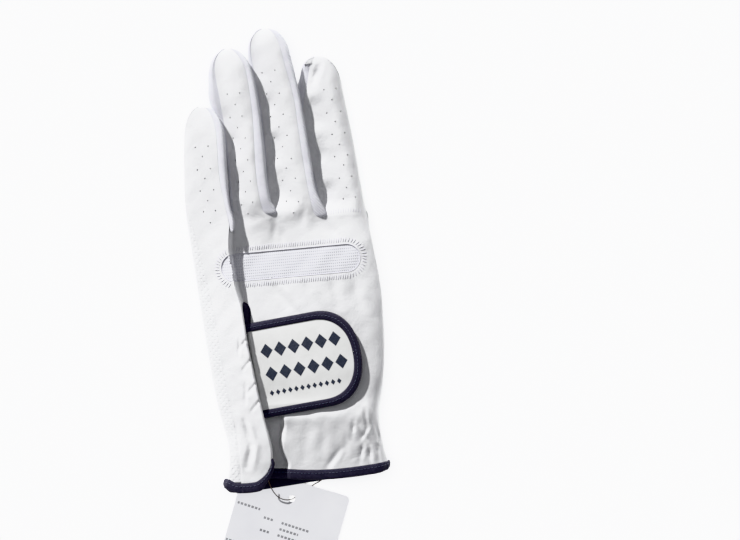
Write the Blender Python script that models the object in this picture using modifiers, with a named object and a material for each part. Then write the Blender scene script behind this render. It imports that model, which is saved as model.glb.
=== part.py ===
"""A left-hand golf glove lying palm down: +Y to the fingertips, +X to the index finger, +Z up.

The hand is four strips side by side, one for each finger, that run from the cuff to the fingertips.
The origin is on the flat underside of the palm. Lengths are in millimetres until a mesh is made.
"""

import math

import bmesh
import bpy
import numpy as np
from mathutils import Matrix, Vector

MM = 0.001

# Leather and cloth
LEATHER = 0.9
FOURCHETTE = 0.7
ELASTIC = 0.8
ELASTIC_ENDS = (-74, -45)
ELASTIC_LEFT = (-35, -27)
ELASTIC_RIGHT = (24, 36)
GAP = 0.4

# Heights below and above everything, for cutters
BELOW = -20
ABOVE = 60

# Height of the lying glove
HAND_HEIGHT = 9.5
BACK_DOME = 1.2
FINGER_CROWN = 0.8
THUMB_ROOM = 6.8
BACK_RISE = 5
CUFF_LIFT = 2.8
SIDE_ROUND = 2.2

# Outline of the hand: (y, x) along each side, and x where each strip boundary meets the cuff
LITTLE_SIDE = (
    (-80, -40), (-62, -38.3), (-40, -41.7), (0, -45.3), (40, -48), (65, -49.2), (90, -47.5), (112, -45.5),
)
INDEX_SIDE = (
    (-80, 43), (-62, 40), (-40, 42.5), (-10, 46), (10, 46.7),
    (30, 45), (60, 41.7), (90, 39), (112, 36.3), (133, 34),
)
CROTCHES = ((-25.5, 48), (-5.5, 54), (20, 50.5))
CUFF_SPLITS = (-21, 0, 21)
LITTLE_BASE_Y = 47
INDEX_BASE_Y = 52
CUFF_LINE = ((-42, -80.3), (-18, -79), (0, -76.8), (44, -75.7))
FINGER_TIP_ROUND = 12
TIP_POWER = 2.4

# Each finger: tip y, and its left and right edges as (y, x) above its base
LITTLE_RIGHT = ((48, -25.5), (52, -26.3), (90, -27), (112, -27.5))
RING_LEFT = ((48, -25.5), (54, -25.1), (90, -25.9), (106, -27), (118, -30), (140, -30.5))
RING_RIGHT = ((54, -5.5), (58, -6.5), (90, -6.9), (120, -8.3), (140, -11))
MIDDLE_LEFT = ((54, -5.5), (58, -5.1), (90, -5.6), (120, -7.2), (135, -9.2), (149, -9.5))
MIDDLE_RIGHT = ((50.5, 20), (55, 19), (70, 17.3), (90, 15.9), (110, 13.8), (130, 11.8), (149, 8))
INDEX_LEFT = ((50.5, 20), (55, 20.3), (70, 18.6), (90, 17.2), (110, 15.4), (132, 15))
FINGERS = (
    {"name": "little", "tip": 112, "left": LITTLE_SIDE, "right": LITTLE_RIGHT},
    {"name": "ring", "tip": 140.5, "left": RING_LEFT, "right": RING_RIGHT},
    {"name": "middle", "tip": 149, "left": MIDDLE_LEFT, "right": MIDDLE_RIGHT},
    {"name": "index", "tip": 132.7, "left": INDEX_LEFT, "right": INDEX_SIDE},
)

# Slit in the back, as (y, x) of its two edges
SLIT_LEFT = ((-90, -15.5), (-80, -16), (-50, -17.7), (-20, -21.8), (10, -24.5))
SLIT_RIGHT = ((-90, -9.5), (-80, -10), (-50, -12.5), (-20, -16.6), (10, -20.4))
SLIT_START = -88
SLIT_TOP_Y = 11.5
SLIT_BINDING_WIDTH = 1.1
SLIT_BINDING_LIFT = 0.5
SLIT_BINDING_THICKNESS = 1.9

# Knit strip over the knuckles
KNUCKLE_CENTRE = (2, 29)
KNUCKLE_SIZE = (70, 14)

# Closing tab, measured along its own length from its sewn end
TAB_ROOT = (-21, -24.1)
TAB_TILT = math.radians(5.5)
TAB_LENGTH = 54.7
TAB_HALF_WIDTH = 24.4
TAB_NOSE = 21
TAB_NOSE_POWER = 2.3
TAB_BINDING_WIDTH = 4.2
PATCH_MARGIN = 6
PATCH_START = 12

# Layers of the closing: height of each one's top above the back panel, and its thickness
LOOP_LAYER = (1.2, 0.9)
HOOK_LAYER = (2.5, 0.9)
FACE_LAYER = (3.9, 1.0)
TAB_BINDING_LAYER = (4.1, 2.4)
TAB_HINGE_LIFT = 3

# Thumb, folded flat under the palm; it turns about the middle of its mouth
THUMB_PIVOT = (27, -10)
THUMB_REACH = 57
THUMB_HALF_WIDTH = 12
THUMB_TIP_ROUND = 13
THUMB_HEIGHT = 6.4
THUMB_MOUTH_RADIUS = 9.5
SECTION_POWER = 0.6

# Cuff binding
BINDING_WIDTH = 4.6
BINDING_THICKNESS = 1.7
BINDING_LIFT = 0.3
BINDING_SIDE = 1.6
CUFF_Y = -80

# Card tag on a string that passes up through its hole
TAG_SIZE = (56, 84)
TAG_THICKNESS = 1.0
TAG_BASE = 0.85
TAG_TILT = math.radians(-21)
TAG_HOLE = (-8.5, -91)
TAG_HOLE_RADIUS = 1.75
TAG_HOLE_INSET = (27.5, 9)
TAG_CORNER = 2.5
TAG_PIVOT = (-13, -86)
STRING_DIAMETER = 0.5
STRING_ROUTE = (
    (10, -79, 7), (9, -81.2, 6), (7.4, -82.8, 3.8), (5.4, -84, 1.6), (3.2, -85.1, 0.5),
    (0, -86.8, 0.3), (-5.4, -90.1, 0.3), (-7.5, -91, 0.6), (-8.5, -91.3, 1.5), (-9.2, -91.4, 2.3),
    (-10.8, -91.4, 2.8), (-14.6, -90, 3.2), (-16.6, -87.8, 3.9), (-18, -85.2, 4.9), (-19, -82, 6),
    (-19.4, -79.6, 6.8),
)

COLUMNS = 6
PALM_ROWS = 16
FINGER_ROWS = 12
WRAP_COLUMNS = 5


def hermite(points, at):
    """The smooth curve through (place, value) points, at one place or an array of places."""
    place, value = np.array(points, float).T
    slope = np.gradient(value, place)
    i = np.clip(np.searchsorted(place, at) - 1, 0, len(place) - 2)
    step = place[i + 1] - place[i]
    t = np.clip((at - place[i]) / step, 0, 1)
    return (
        (2 * t**3 - 3 * t**2 + 1) * value[i]
        + (t**3 - 2 * t**2 + t) * step * slope[i]
        + (3 * t**2 - 2 * t**3) * value[i + 1]
        + (t**3 - t**2) * step * slope[i + 1]
    )


def ramp(value, low, high):
    """0 below low, 1 above high, and smooth between."""
    t = np.clip((value - low) / (high - low), 0, 1)
    return t * t * (3 - 2 * t)


def cuff_lift(y):
    return CUFF_LIFT * (1 - ramp(y, -68, -52))


def under_height(x, y):
    """Height of the hand's underside: flat, but raised over the folded thumb and at the cuff."""
    over_thumb = ramp(x, 3, 14) * ramp(y, -48, -30) * (1 - ramp(y, 46, 64))
    return THUMB_ROOM * over_thumb + cuff_lift(y) * (1 - over_thumb)


def back_height(x, y):
    """Height of the back of the hand, without the fingers' crowns. It rises gently over the thumb."""
    over_thumb = ramp(x, -30, 30) * ramp(y, -70, -25) * (1 - ramp(y, 30, 75))
    dome = BACK_DOME * (1 - ((x + 1) / 50) ** 2) * (1 - ramp(y, 40, 60))
    return HAND_HEIGHT + BACK_RISE * over_thumb + cuff_lift(y) + dome


# --- Blender helpers -------------------------------------------------------------------------


def clear_scene():
    for obj in list(bpy.data.objects):
        bpy.data.objects.remove(obj, do_unlink=True)


def collection(name):
    made = bpy.data.collections.new(name)
    bpy.context.scene.collection.children.link(made)
    return made


def material(name, colour, roughness):
    made = bpy.data.materials.new(name)
    made.use_nodes = True
    shader = made.node_tree.nodes["Principled BSDF"]
    shader.inputs["Base Color"].default_value = (*colour, 1)
    shader.inputs["Roughness"].default_value = roughness
    return made


def grid_mesh(bm, rows):
    """Adds a grid through rows of points to a bmesh. Its faces look towards +Z where rows go up +Y."""
    count, width = len(rows), len(rows[0])
    made = bmesh.ops.create_grid(bm, x_segments=width - 1, y_segments=count - 1, size=1)["verts"]
    for vert, point in zip(made, (p for row in rows for p in row)):
        vert.co = Vector(point) * MM


def sheet_object(name, grids, thickness, flip=False):
    """One open surface made of grids that share their edges, thickened inwards."""
    bm = bmesh.new()
    for rows in grids:
        grid_mesh(bm, rows)
    bmesh.ops.remove_doubles(bm, verts=bm.verts, dist=0.01 * MM)
    if flip:
        bmesh.ops.reverse_faces(bm, faces=bm.faces)
    mesh = bpy.data.meshes.new(name)
    bm.to_mesh(mesh)
    bm.free()
    obj = bpy.data.objects.new(name, mesh)
    solid = obj.modifiers.new("thickness", "SOLIDIFY")
    solid.thickness = thickness * MM
    solid.offset = -1
    solid.use_even_offset = True
    return obj


def prism(name, outlines, low, high):
    """A flat outline, with any holes, extruded from height low to high, as a closed mesh object."""
    curve = bpy.data.curves.new(name, "CURVE")
    curve.dimensions = "2D"
    curve.fill_mode = "BOTH"
    curve.extrude = (high - low) / 2 * MM
    for outline in outlines:
        spline = curve.splines.new("POLY")
        spline.points.add(len(outline) - 1)
        for point, (x, y) in zip(spline.points, outline):
            point.co = (x * MM, y * MM, 0, 1)
        spline.use_cyclic_u = True
    drawn = bpy.data.objects.new(name + "_outline", curve)
    drawn.location.z = (high + low) / 2 * MM
    return curve_to_mesh(drawn, name)


def curve_to_mesh(drawn, name):
    bpy.context.scene.collection.objects.link(drawn)
    bpy.context.view_layer.update()
    evaluated = drawn.evaluated_get(bpy.context.evaluated_depsgraph_get())
    mesh = bpy.data.meshes.new_from_object(evaluated)
    bm = bmesh.new()
    bm.from_mesh(mesh)
    bmesh.ops.remove_doubles(bm, verts=bm.verts, dist=0.001 * MM)
    bmesh.ops.recalc_face_normals(bm, faces=bm.faces)
    bm.to_mesh(mesh)
    bm.free()
    mesh.name = name
    obj = bpy.data.objects.new(name, mesh)
    obj.matrix_world = drawn.matrix_world.copy()
    bpy.data.objects.remove(drawn)
    return obj


def cut(obj, cutter, operation="DIFFERENCE"):
    cutter.hide_render = True
    cutter.display_type = "WIRE"
    if cutter.name not in CUTTERS.objects:
        CUTTERS.objects.link(cutter)
    step = obj.modifiers.new(operation.lower(), "BOOLEAN")
    step.object = cutter
    step.operation = operation
    step.solver = "EXACT"


def add_part(obj, look, parent=None):
    obj.data.materials.clear()
    obj.data.materials.append(look)
    obj.data.shade_smooth()
    obj.data.set_sharp_from_angle(angle=math.radians(35))
    GLOVE.objects.link(obj)
    if parent:
        obj.parent = parent
        obj.matrix_parent_inverse = parent.matrix_world.inverted()
    return obj


def pivot(name, place, turn=0.0):
    """An empty on a joint's axis."""
    empty = bpy.data.objects.new(name, None)
    empty.matrix_world = Matrix.Translation(Vector(place) * MM) @ Matrix.Rotation(turn, 4, "Z")
    GLOVE.objects.link(empty)
    return empty


# --- Strips of the hand ----------------------------------------------------------------------


def boundary(number, y):
    """x of a strip boundary below the crotches: 0 is the little finger's side, 4 the index finger's."""
    if number == 0:
        return hermite(LITTLE_SIDE, y) + SIDE_ROUND
    if number == 4:
        return hermite(INDEX_SIDE, y) - SIDE_ROUND
    x, top = CROTCHES[number - 1]
    share = (top - y) / (top - CUFF_Y)
    return x + (CUFF_SPLITS[number - 1] - x) * share


def base_y(number):
    if number == 0:
        return LITTLE_BASE_Y
    return INDEX_BASE_Y if number == 4 else CROTCHES[number - 1][1]


def palm_place(strip, u, v):
    """(x, y) in the palm: u across the strip, v from the cuff to the finger's base."""
    ends = []
    for number in (strip, strip + 1):
        cuff = hermite(CUFF_LINE, boundary(number, -78))
        y = cuff + (base_y(number) - cuff) * v
        ends.append((boundary(number, y), y))
    (x0, y0), (x1, y1) = ends
    return x0 + (x1 - x0) * u, y0 + (y1 - y0) * u


def finger_x(strip, u, y, narrow=1.0):
    """x on a finger at height y, narrowed about its middle line."""
    finger = FINGERS[strip]
    left = hermite(finger["left"], y) + (SIDE_ROUND if strip == 0 else 0)
    right = hermite(finger["right"], y) - (SIDE_ROUND if strip == 3 else 0)
    return (left + right) / 2 + (u - 0.5) * (right - left) * narrow


def finger_place(strip, u, v):
    """(x, y, roundness) on a finger: u across it, v from its base, where it meets the palm, to its tip."""
    tip = FINGERS[strip]["tip"]
    palm_x, base = palm_place(strip, u, 1)
    share = math.sin(v * math.pi / 2) ** 0.9 * (1 - 0.5 / (tip - base))
    y = base + (tip - base) * share
    t = max(0, (y - tip) / FINGER_TIP_ROUND + 1)
    x = finger_x(strip, u, y, (1 - t**TIP_POWER) ** (1 / TIP_POWER))
    x += (palm_x - finger_x(strip, u, base)) * (1 - ramp(v, 0, 0.2))
    return x, y, math.sqrt(1 - min(t, 0.97) ** 2)


def heights(x, y, u=0.0, crown=0.0, roundness=1.0):
    """(underside, back) at a place. Both draw together at a fingertip."""
    low = under_height(x, y)
    high = back_height(x, y) + FINGER_CROWN * crown * (1 - (2 * u - 1) ** 2)
    middle = (low + high) / 2
    half = max((high - low) / 2 * roundness, LEATHER + GAP / 2)
    return middle - half, middle + half


def strip_rows(strip, part):
    """Rows of (x, y, underside, back) over one strip of the palm or over one finger."""
    rows = []
    for k in range((PALM_ROWS if part == "palm" else FINGER_ROWS) + 1):
        v = k / (PALM_ROWS if part == "palm" else FINGER_ROWS)
        row = []
        for j in range(COLUMNS + 1):
            u = j / COLUMNS
            if part == "palm":
                x, y = palm_place(strip, u, v)
                row.append((x, y, *heights(x, y)))
            else:
                x, y, roundness = finger_place(strip, u, v)
                row.append((x, y, *heights(x, y, u, ramp(v, 0, 0.15), roundness)))
        rows.append(row)
    return rows


def back_grids(lift=0.0):
    return [
        [[(x, y, high + lift) for x, y, _, high in row] for row in strip_rows(strip, part)]
        for strip in range(4)
        for part in ("palm", "finger")
    ]


def wrap_rows(strip, part, side):
    """The palm leather where it turns up round the outer side of the hand: side is -1 or 1."""
    rows = []
    for row in strip_rows(strip, part):
        x, y, low, high = row[0 if side < 0 else -1]
        top = high - LEATHER - GAP
        wrap = []
        for k in range(WRAP_COLUMNS + 1):
            s = k / WRAP_COLUMNS
            bulge = SIDE_ROUND * (1 - abs(2 * s - 1) ** 3)
            wrap.append((x + side * bulge, y, low + max(top - low, 0.1) * s))
        rows.append(wrap[::-1] if side < 0 else wrap)
    return rows


def palm_grids():
    grids = [
        [[(x, y, low) for x, y, low, _ in row] for row in strip_rows(strip, part)]
        for strip in range(4)
        for part in ("palm", "finger")
    ]
    for part in ("palm", "finger"):
        grids.append(wrap_rows(0, part, -1))
        grids.append(wrap_rows(3, part, 1))
    return grids


def make_palm_panel():
    panel = sheet_object("palm_panel", palm_grids(), LEATHER, flip=True)
    hole = circle(*THUMB_PIVOT, THUMB_MOUTH_RADIUS)
    cut(panel, prism("thumb_hole_cutter", [hole], BELOW, THUMB_ROOM + 3 * LEATHER))
    return panel


def make_back_panel():
    panel = sheet_object("back_panel", back_grids(), LEATHER)
    cut(panel, prism("slit_cutter", [slit_outline(0)], BELOW, ABOVE))
    cut(panel, prism("knuckle_cutter", [stadium(*KNUCKLE_CENTRE, *KNUCKLE_SIZE)], BELOW, ABOVE))
    return panel


def make_fourchette(number):
    """The folded strip between two fingers: down the side of one, round the crotch and up the next."""
    left, right = FINGERS[number], FINGERS[number + 1]
    inset = GAP / 2 + FOURCHETTE
    rows = []
    for strip, u, way in ((number, 1.0, 1), (number + 1, 0.0, -1)):
        side = []
        for k in range(1, FINGER_ROWS - 1):
            v = k / FINGER_ROWS
            x, y, roundness = finger_place(strip, u, v)
            low, high = heights(x, y, u, ramp(v, 0, 0.15), roundness)
            side.append((x - way * inset, y, low + LEATHER + GAP, high - LEATHER - GAP))
        rows.append(side)
    x, y = CROTCHES[number]
    low, high = heights(x, y)
    turn = [
        (x + across * inset, y - down, low + LEATHER + GAP, high - LEATHER - GAP)
        for across, down in ((-1.5, 0), (-0.75, 1), (0.75, 1), (1.5, 0))
    ]
    path = rows[0][::-1] + turn + rows[1]
    grid = [[(x, y, low + (high - low) * s) for x, y, low, high in path] for s in (0, 0.5, 1)]
    name = f"fourchette_{left['name']}_{right['name']}"
    return sheet_object(name, [grid], FOURCHETTE)


# --- Outlines --------------------------------------------------------------------------------


def circle(x, y, radius, count=24):
    turns = [2 * math.pi * k / count for k in range(count)]
    return [(x + radius * math.cos(a), y + radius * math.sin(a)) for a in turns]


def stadium(x, y, length, width, count=12):
    """A bar with round ends, going round from its lower right."""
    reach, radius = (length - width) / 2, width / 2
    points = []
    for side in (1, -1):
        for k in range(count + 1):
            a = -math.pi / 2 + math.pi * k / count
            points.append((x + side * (reach + radius * math.cos(a)), y + side * radius * math.sin(a)))
    return points


def slit_outline(shrink, start=SLIT_START):
    """The slit's outline, drawn in by shrink: up its left edge and down its right edge."""
    steps = np.linspace(start, SLIT_TOP_Y - 1.5 - shrink, 14)
    left = [(float(hermite(SLIT_LEFT, y)) + shrink, float(y)) for y in steps]
    right = [(float(hermite(SLIT_RIGHT, y)) - shrink, float(y)) for y in steps]
    tip = ((left[-1][0] + right[-1][0]) / 2, float(steps[-1]) + 1.2)
    return left + [tip] + right[::-1]


def tab_place(along, across):
    """(x, y) of a place on the tab, given along its length and across it from its middle line."""
    c, s = math.cos(TAB_TILT), math.sin(TAB_TILT)
    return TAB_ROOT[0] + along * c - across * s, TAB_ROOT[1] + along * s + across * c


def tab_outline(inset, start, count=20):
    """The tab's D shape, drawn in by inset, from start to its rounded nose."""
    half = TAB_HALF_WIDTH - inset
    nose = TAB_NOSE - inset * 0.8
    shoulder = TAB_LENGTH - inset - nose
    points = [(start, half)]
    for k in range(count + 1):
        a = math.pi / 2 - math.pi * k / count
        c, s = abs(math.cos(a)) ** (2 / TAB_NOSE_POWER), abs(math.sin(a)) ** (2 / TAB_NOSE_POWER)
        points.append((shoulder + nose * c, math.copysign(half * s, math.sin(a))))
    points.append((start, -half))
    return [tab_place(*p) for p in points]


def layer(name, lift, thickness, outline, hollow=None):
    """A piece of cloth that follows the back panel at a height above it and has a flat outline."""
    obj = sheet_object(name, back_grids(lift), thickness)
    cut(obj, prism(name + "_shape", [outline], BELOW, ABOVE), "INTERSECT")
    if hollow:
        cut(obj, prism(name + "_hollow", [hollow], BELOW - 1, ABOVE + 1))
    return obj


def make_slit_binding():
    """A folded tape up one edge of the slit and down the other."""
    hollow = slit_outline(GAP + SLIT_BINDING_WIDTH, SLIT_START - 4)
    return layer("slit_binding", SLIT_BINDING_LIFT, SLIT_BINDING_THICKNESS, slit_outline(GAP), hollow)


def cuff_back(x):
    return float(back_height(x, CUFF_Y)) + BINDING_LIFT


def cuff_under(x):
    return float(under_height(x, CUFF_Y)) - BINDING_LIFT


def cuff_side(x, side):
    """(x, z) down the right side of the cuff, or up its left side: side is 1 or -1."""
    low, high = cuff_under(x), cuff_back(x)
    turns = [side * (math.pi / 2 - math.pi * k / 8) for k in range(1, 8)]
    middle, half = (low + high) / 2, (high - low) / 2
    return [(x + side * BINDING_SIDE * math.cos(a), middle + half * math.sin(a)) for a in turns]


def make_cuff_binding():
    """A band round the end of the cuff, from one edge of the slit to the other."""
    start = float(hermite(SLIT_RIGHT, CUFF_Y)) + 1.5
    stop = float(hermite(SLIT_LEFT, CUFF_Y)) - 1.5
    left, right = boundary(0, CUFF_Y) - 1, boundary(4, CUFF_Y) + 1
    stations = [(x, cuff_back(x)) for x in np.linspace(start, right, 12)]
    stations += cuff_side(right, 1)
    stations += [(x, cuff_under(x)) for x in np.linspace(right, left, 18)]
    stations += cuff_side(left, -1)
    stations += [(x, cuff_back(x)) for x in np.linspace(left, stop, 8)]
    rows = [
        [(float(x), float(hermite(CUFF_LINE, x)) - down, z) for x, z in stations]
        for down in (GAP, GAP + BINDING_WIDTH)
    ]
    return sheet_object("cuff_binding", [rows], BINDING_THICKNESS, flip=True)


def make_elastic(name, left, right):
    """A tape of elastic sewn inside the wrist, under the back panel's gathers."""
    low, high = ELASTIC_ENDS
    outline = [(left, low), (right, low), (right, high), (left, high)]
    return layer(name, -LEATHER - GAP, ELASTIC, outline)


def thumb_half_width(along):
    """Half the thumb's width at a distance along it from its pivot."""
    if along < 0:
        return math.sqrt(THUMB_HALF_WIDTH**2 - along**2)
    t = max(0, (along - THUMB_REACH) / THUMB_TIP_ROUND + 1)
    return (THUMB_HALF_WIDTH - 1.5 * along / THUMB_REACH) * (1 - t**TIP_POWER) ** (1 / TIP_POWER)


def make_thumb():
    """A flat tube, closed at both ends, with a round mouth in its top where the palm's hole is."""
    steps, around = 18, 20
    middle = THUMB_HEIGHT / 2
    low, high = GAP - THUMB_HALF_WIDTH, THUMB_REACH - GAP
    rows = []
    for k in range(steps + 1):
        along = (low + high) / 2 - (high - low) / 2 * math.cos(math.pi * k / steps)
        wide = thumb_half_width(along)
        tall = middle * min(1, (wide / THUMB_HALF_WIDTH) ** 0.4)
        row = []
        for j in range(around + 1):
            a = 2 * math.pi * j / around
            c, s = math.cos(a), math.sin(a)
            across = -wide * math.copysign(abs(c) ** SECTION_POWER, c)
            up = tall * math.copysign(abs(s) ** SECTION_POWER, s)
            row.append((THUMB_PIVOT[0] + across, THUMB_PIVOT[1] + along, middle + up))
        rows.append(row)
    obj = sheet_object("thumb_panel", [rows], LEATHER)
    bm = bmesh.new()
    bm.from_mesh(obj.data)
    bmesh.ops.holes_fill(bm, edges=[e for e in bm.edges if e.is_boundary])
    bmesh.ops.recalc_face_normals(bm, faces=bm.faces)
    bm.to_mesh(obj.data)
    bm.free()
    mouth = circle(*THUMB_PIVOT, THUMB_MOUTH_RADIUS)
    cut(obj, prism("thumb_mouth_cutter", [mouth], middle, ABOVE))
    return obj


def make_tag():
    """A card with a punched hole; its outline is drawn from its top left corner."""
    width, length = TAG_SIZE
    hole_x, hole_y = TAG_HOLE_INSET
    c, s = math.cos(TAG_TILT), math.sin(TAG_TILT)

    def place(x, y):
        x, y = x - hole_x, y + hole_y
        return TAG_HOLE[0] + x * c - y * s, TAG_HOLE[1] + x * s + y * c

    outline = []
    left, right, top, bottom = TAG_CORNER, width - TAG_CORNER, -TAG_CORNER, TAG_CORNER - length
    for number, (cx, cy) in enumerate(((right, top), (left, top), (left, bottom), (right, bottom))):
        for k in range(6):
            a = math.radians(90 * number + 90 * k / 5)
            outline.append(place(cx + TAG_CORNER * math.cos(a), cy + TAG_CORNER * math.sin(a)))
    hole = circle(*TAG_HOLE, TAG_HOLE_RADIUS, 16)
    return prism("hang_tag", [outline, hole], TAG_BASE, TAG_BASE + TAG_THICKNESS)


def make_string():
    points = np.array(STRING_ROUTE, float)
    length = np.concatenate([[0], np.cumsum(np.linalg.norm(np.diff(points, axis=0), axis=1))])
    count = int(length[-1] / (2.5 * STRING_DIAMETER))
    at = np.linspace(0, length[-1], count)
    curve = bpy.data.curves.new("tag_string", "CURVE")
    curve.dimensions = "3D"
    curve.bevel_depth = STRING_DIAMETER / 2 * MM
    curve.bevel_resolution = 2
    curve.use_fill_caps = True
    spline = curve.splines.new("POLY")
    spline.points.add(count - 1)
    route = [[float(hermite(list(zip(length, points[:, k])), s)) * MM for k in range(3)] for s in at]
    for point, place in zip(spline.points, route):
        point.co = (*place, 1)
    return curve_to_mesh(bpy.data.objects.new("tag_string_route", curve), "tag_string")


# --- The glove -------------------------------------------------------------------------------

clear_scene()
GLOVE = collection("golf_glove")
CUTTERS = collection("cutters")

white_leather = material("white_leather", (0.86, 0.86, 0.87), 0.55)
white_knit = material("white_knit", (0.84, 0.84, 0.88), 0.85)
white_mesh = material("white_mesh", (0.82, 0.82, 0.86), 0.9)
tab_white = material("tab_white", (0.85, 0.85, 0.85), 0.5)
hook_tape = material("hook_tape", (0.8, 0.8, 0.8), 0.8)
loop_cloth = material("loop_cloth", (0.82, 0.82, 0.84), 0.95)
navy_tape = material("navy_tape", (0.02, 0.022, 0.06), 0.8)
elastic_tape = material("elastic_tape", (0.8, 0.8, 0.8), 0.9)
card = material("card", (0.75, 0.75, 0.77), 0.5)
thread = material("thread", (0.75, 0.75, 0.78), 0.8)

tab_axis = pivot("tab_axis", (*TAB_ROOT, float(back_height(*TAB_ROOT)) + TAB_HINGE_LIFT), TAB_TILT)
thumb_axis = pivot("thumb_axis", (*THUMB_PIVOT, 0))
tag_axis = pivot("tag_axis", (*TAG_PIVOT, 0))

add_part(make_palm_panel(), white_leather)
add_part(make_back_panel(), white_leather)
for gap_number in range(3):
    add_part(make_fourchette(gap_number), white_knit)
knuckle = stadium(*KNUCKLE_CENTRE, KNUCKLE_SIZE[0] - 2 * GAP, KNUCKLE_SIZE[1] - 2 * GAP)
add_part(layer("knuckle_mesh", 0, LEATHER, knuckle), white_mesh)
add_part(layer("loop_patch", *LOOP_LAYER, tab_outline(PATCH_MARGIN, PATCH_START)), loop_cloth)

inner_edge = TAB_BINDING_WIDTH + GAP
hook_outline = tab_outline(inner_edge, TAB_BINDING_WIDTH)
add_part(layer("tab_hook_pad", *HOOK_LAYER, hook_outline), hook_tape, tab_axis)
add_part(layer("tab_face", *FACE_LAYER, tab_outline(inner_edge, GAP)), tab_white, tab_axis)
tab_hollow = tab_outline(TAB_BINDING_WIDTH, -GAP)
add_part(layer("tab_binding", *TAB_BINDING_LAYER, tab_outline(0, GAP), tab_hollow), navy_tape, tab_axis)

add_part(make_slit_binding(), navy_tape)
add_part(make_cuff_binding(), navy_tape)
add_part(make_elastic("wrist_elastic_left", *ELASTIC_LEFT), elastic_tape)
add_part(make_elastic("wrist_elastic_right", *ELASTIC_RIGHT), elastic_tape)
add_part(make_thumb(), white_leather, thumb_axis)
add_part(make_tag(), card, tag_axis)
add_part(make_string(), thread, tag_axis)
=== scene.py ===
"""A left-hand golf glove lying palm down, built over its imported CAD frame.

+Y is towards the fingertips, +X towards the index finger, +Z up. Lengths are in millimetres until a
mesh is made. The hand is four strips side by side, one for each finger, from the cuff to the tips.
"""

import math
import random
from collections import namedtuple
from contextlib import contextmanager

import bmesh
import bpy
import numpy as np
from mathutils import Matrix, Vector, kdtree


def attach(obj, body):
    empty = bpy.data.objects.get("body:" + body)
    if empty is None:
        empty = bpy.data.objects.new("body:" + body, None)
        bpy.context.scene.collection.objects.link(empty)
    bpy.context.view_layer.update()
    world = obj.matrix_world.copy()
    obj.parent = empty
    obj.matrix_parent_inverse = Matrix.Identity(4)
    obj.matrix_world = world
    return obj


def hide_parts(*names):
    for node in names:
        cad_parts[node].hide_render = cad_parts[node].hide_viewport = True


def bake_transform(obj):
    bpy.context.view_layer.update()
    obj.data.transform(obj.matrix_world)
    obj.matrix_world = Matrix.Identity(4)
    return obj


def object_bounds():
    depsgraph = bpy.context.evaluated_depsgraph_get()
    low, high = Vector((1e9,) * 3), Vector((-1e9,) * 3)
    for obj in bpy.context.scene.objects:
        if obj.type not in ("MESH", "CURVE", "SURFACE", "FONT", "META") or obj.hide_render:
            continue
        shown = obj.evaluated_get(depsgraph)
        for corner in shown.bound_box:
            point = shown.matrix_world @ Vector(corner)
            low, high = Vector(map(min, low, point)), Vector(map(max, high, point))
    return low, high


MM = 0.001
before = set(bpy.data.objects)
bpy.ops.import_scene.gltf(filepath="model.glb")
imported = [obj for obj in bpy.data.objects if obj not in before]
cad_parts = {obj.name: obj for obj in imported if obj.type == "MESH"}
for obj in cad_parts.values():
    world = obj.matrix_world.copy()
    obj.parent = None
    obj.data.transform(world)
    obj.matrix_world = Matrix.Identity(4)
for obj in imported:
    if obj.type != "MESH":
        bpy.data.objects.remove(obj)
CAD_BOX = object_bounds()
RANDOM = random.Random(7)

# --- Numbers and curves ---------------------------------------------------------------------------------------


def curve(*points):
    """The smooth curve through (place, value) points, as a function of one place or an array of places."""
    place, value = np.array(points, float).T
    slope = np.gradient(value, place)

    def read(at):
        i = np.clip(np.searchsorted(place, at) - 1, 0, len(place) - 2)
        step = place[i + 1] - place[i]
        t = np.clip((at - place[i]) / step, 0, 1)
        return (
            (2 * t**3 - 3 * t**2 + 1) * value[i]
            + (t**3 - 2 * t**2 + t) * step * slope[i]
            + (3 * t**2 - 2 * t**3) * value[i + 1]
            + (t**3 - t**2) * step * slope[i + 1]
        )

    return read


def ramp(value, low, high):
    """0 below low, 1 above high, smooth between."""
    t = np.clip((value - low) / (high - low), 0, 1)
    return t * t * (3 - 2 * t)


def mix(a, b, share):
    return a + (b - a) * share


def unit(v):
    return v / np.maximum(np.linalg.norm(v, axis=-1, keepdims=True), 1e-9)


# --- Measures ---------------------------------------------------------------------------------

LEATHER = 0.85
KNIT = 0.6

# Outlines: x at y
little_side = curve(
    (-86, -40.3), (-80, -39.9), (-75, -39), (-68, -38), (-60, -38),
    (-50, -40), (-40, -41.7), (-20, -43.8), (0, -45.3),
    (20, -46.7), (40, -48), (60, -49.2), (70, -49), (80, -48.3), (90, -47.5), (100, -46.4), (112, -45.5),
)
index_side = curve(
    (-86, 44), (-78, 42.8), (-70, 41), (-60, 40), (-50, 40.2), (-40, 42.5), (-20, 45.5), (0, 46.5),
    (10, 46.7), (20, 46), (40, 43.8), (60, 41.7), (80, 40), (100, 38), (112, 36.5), (133, 34.5),
)
wrap_seam = curve(
    (-86, -33.3), (-60, -33), (-45, -34.5), (-20, -37), (0, -38.5), (20, -41), (40, -44), (50, -46),
    (60, -48),
)
flap_edge = curve(
    (-79, -19), (-75, -17), (-70, -16), (-65, -15.6), (-60, -16), (-50, -17.7), (-40, -19.2),
    (-30, -20.5), (-20, -21.8), (-10, -23), (0, -23.7), (10, -24.5), (20, -26.5), (30, -27.4),
    (40, -28), (44, -27.6), (50, -26.6),
)
# x of the three crotches, and the hand's upper edge: y at the five sides of the four strips
CROTCH_X = (-25.5, -5.5, 20)
BASE_Y = (48, 48, 54, 50.5, 52)
CUFF_Y = -80
SPLITS = (-21, 0, 21)
SPLIT_Y = -77

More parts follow.
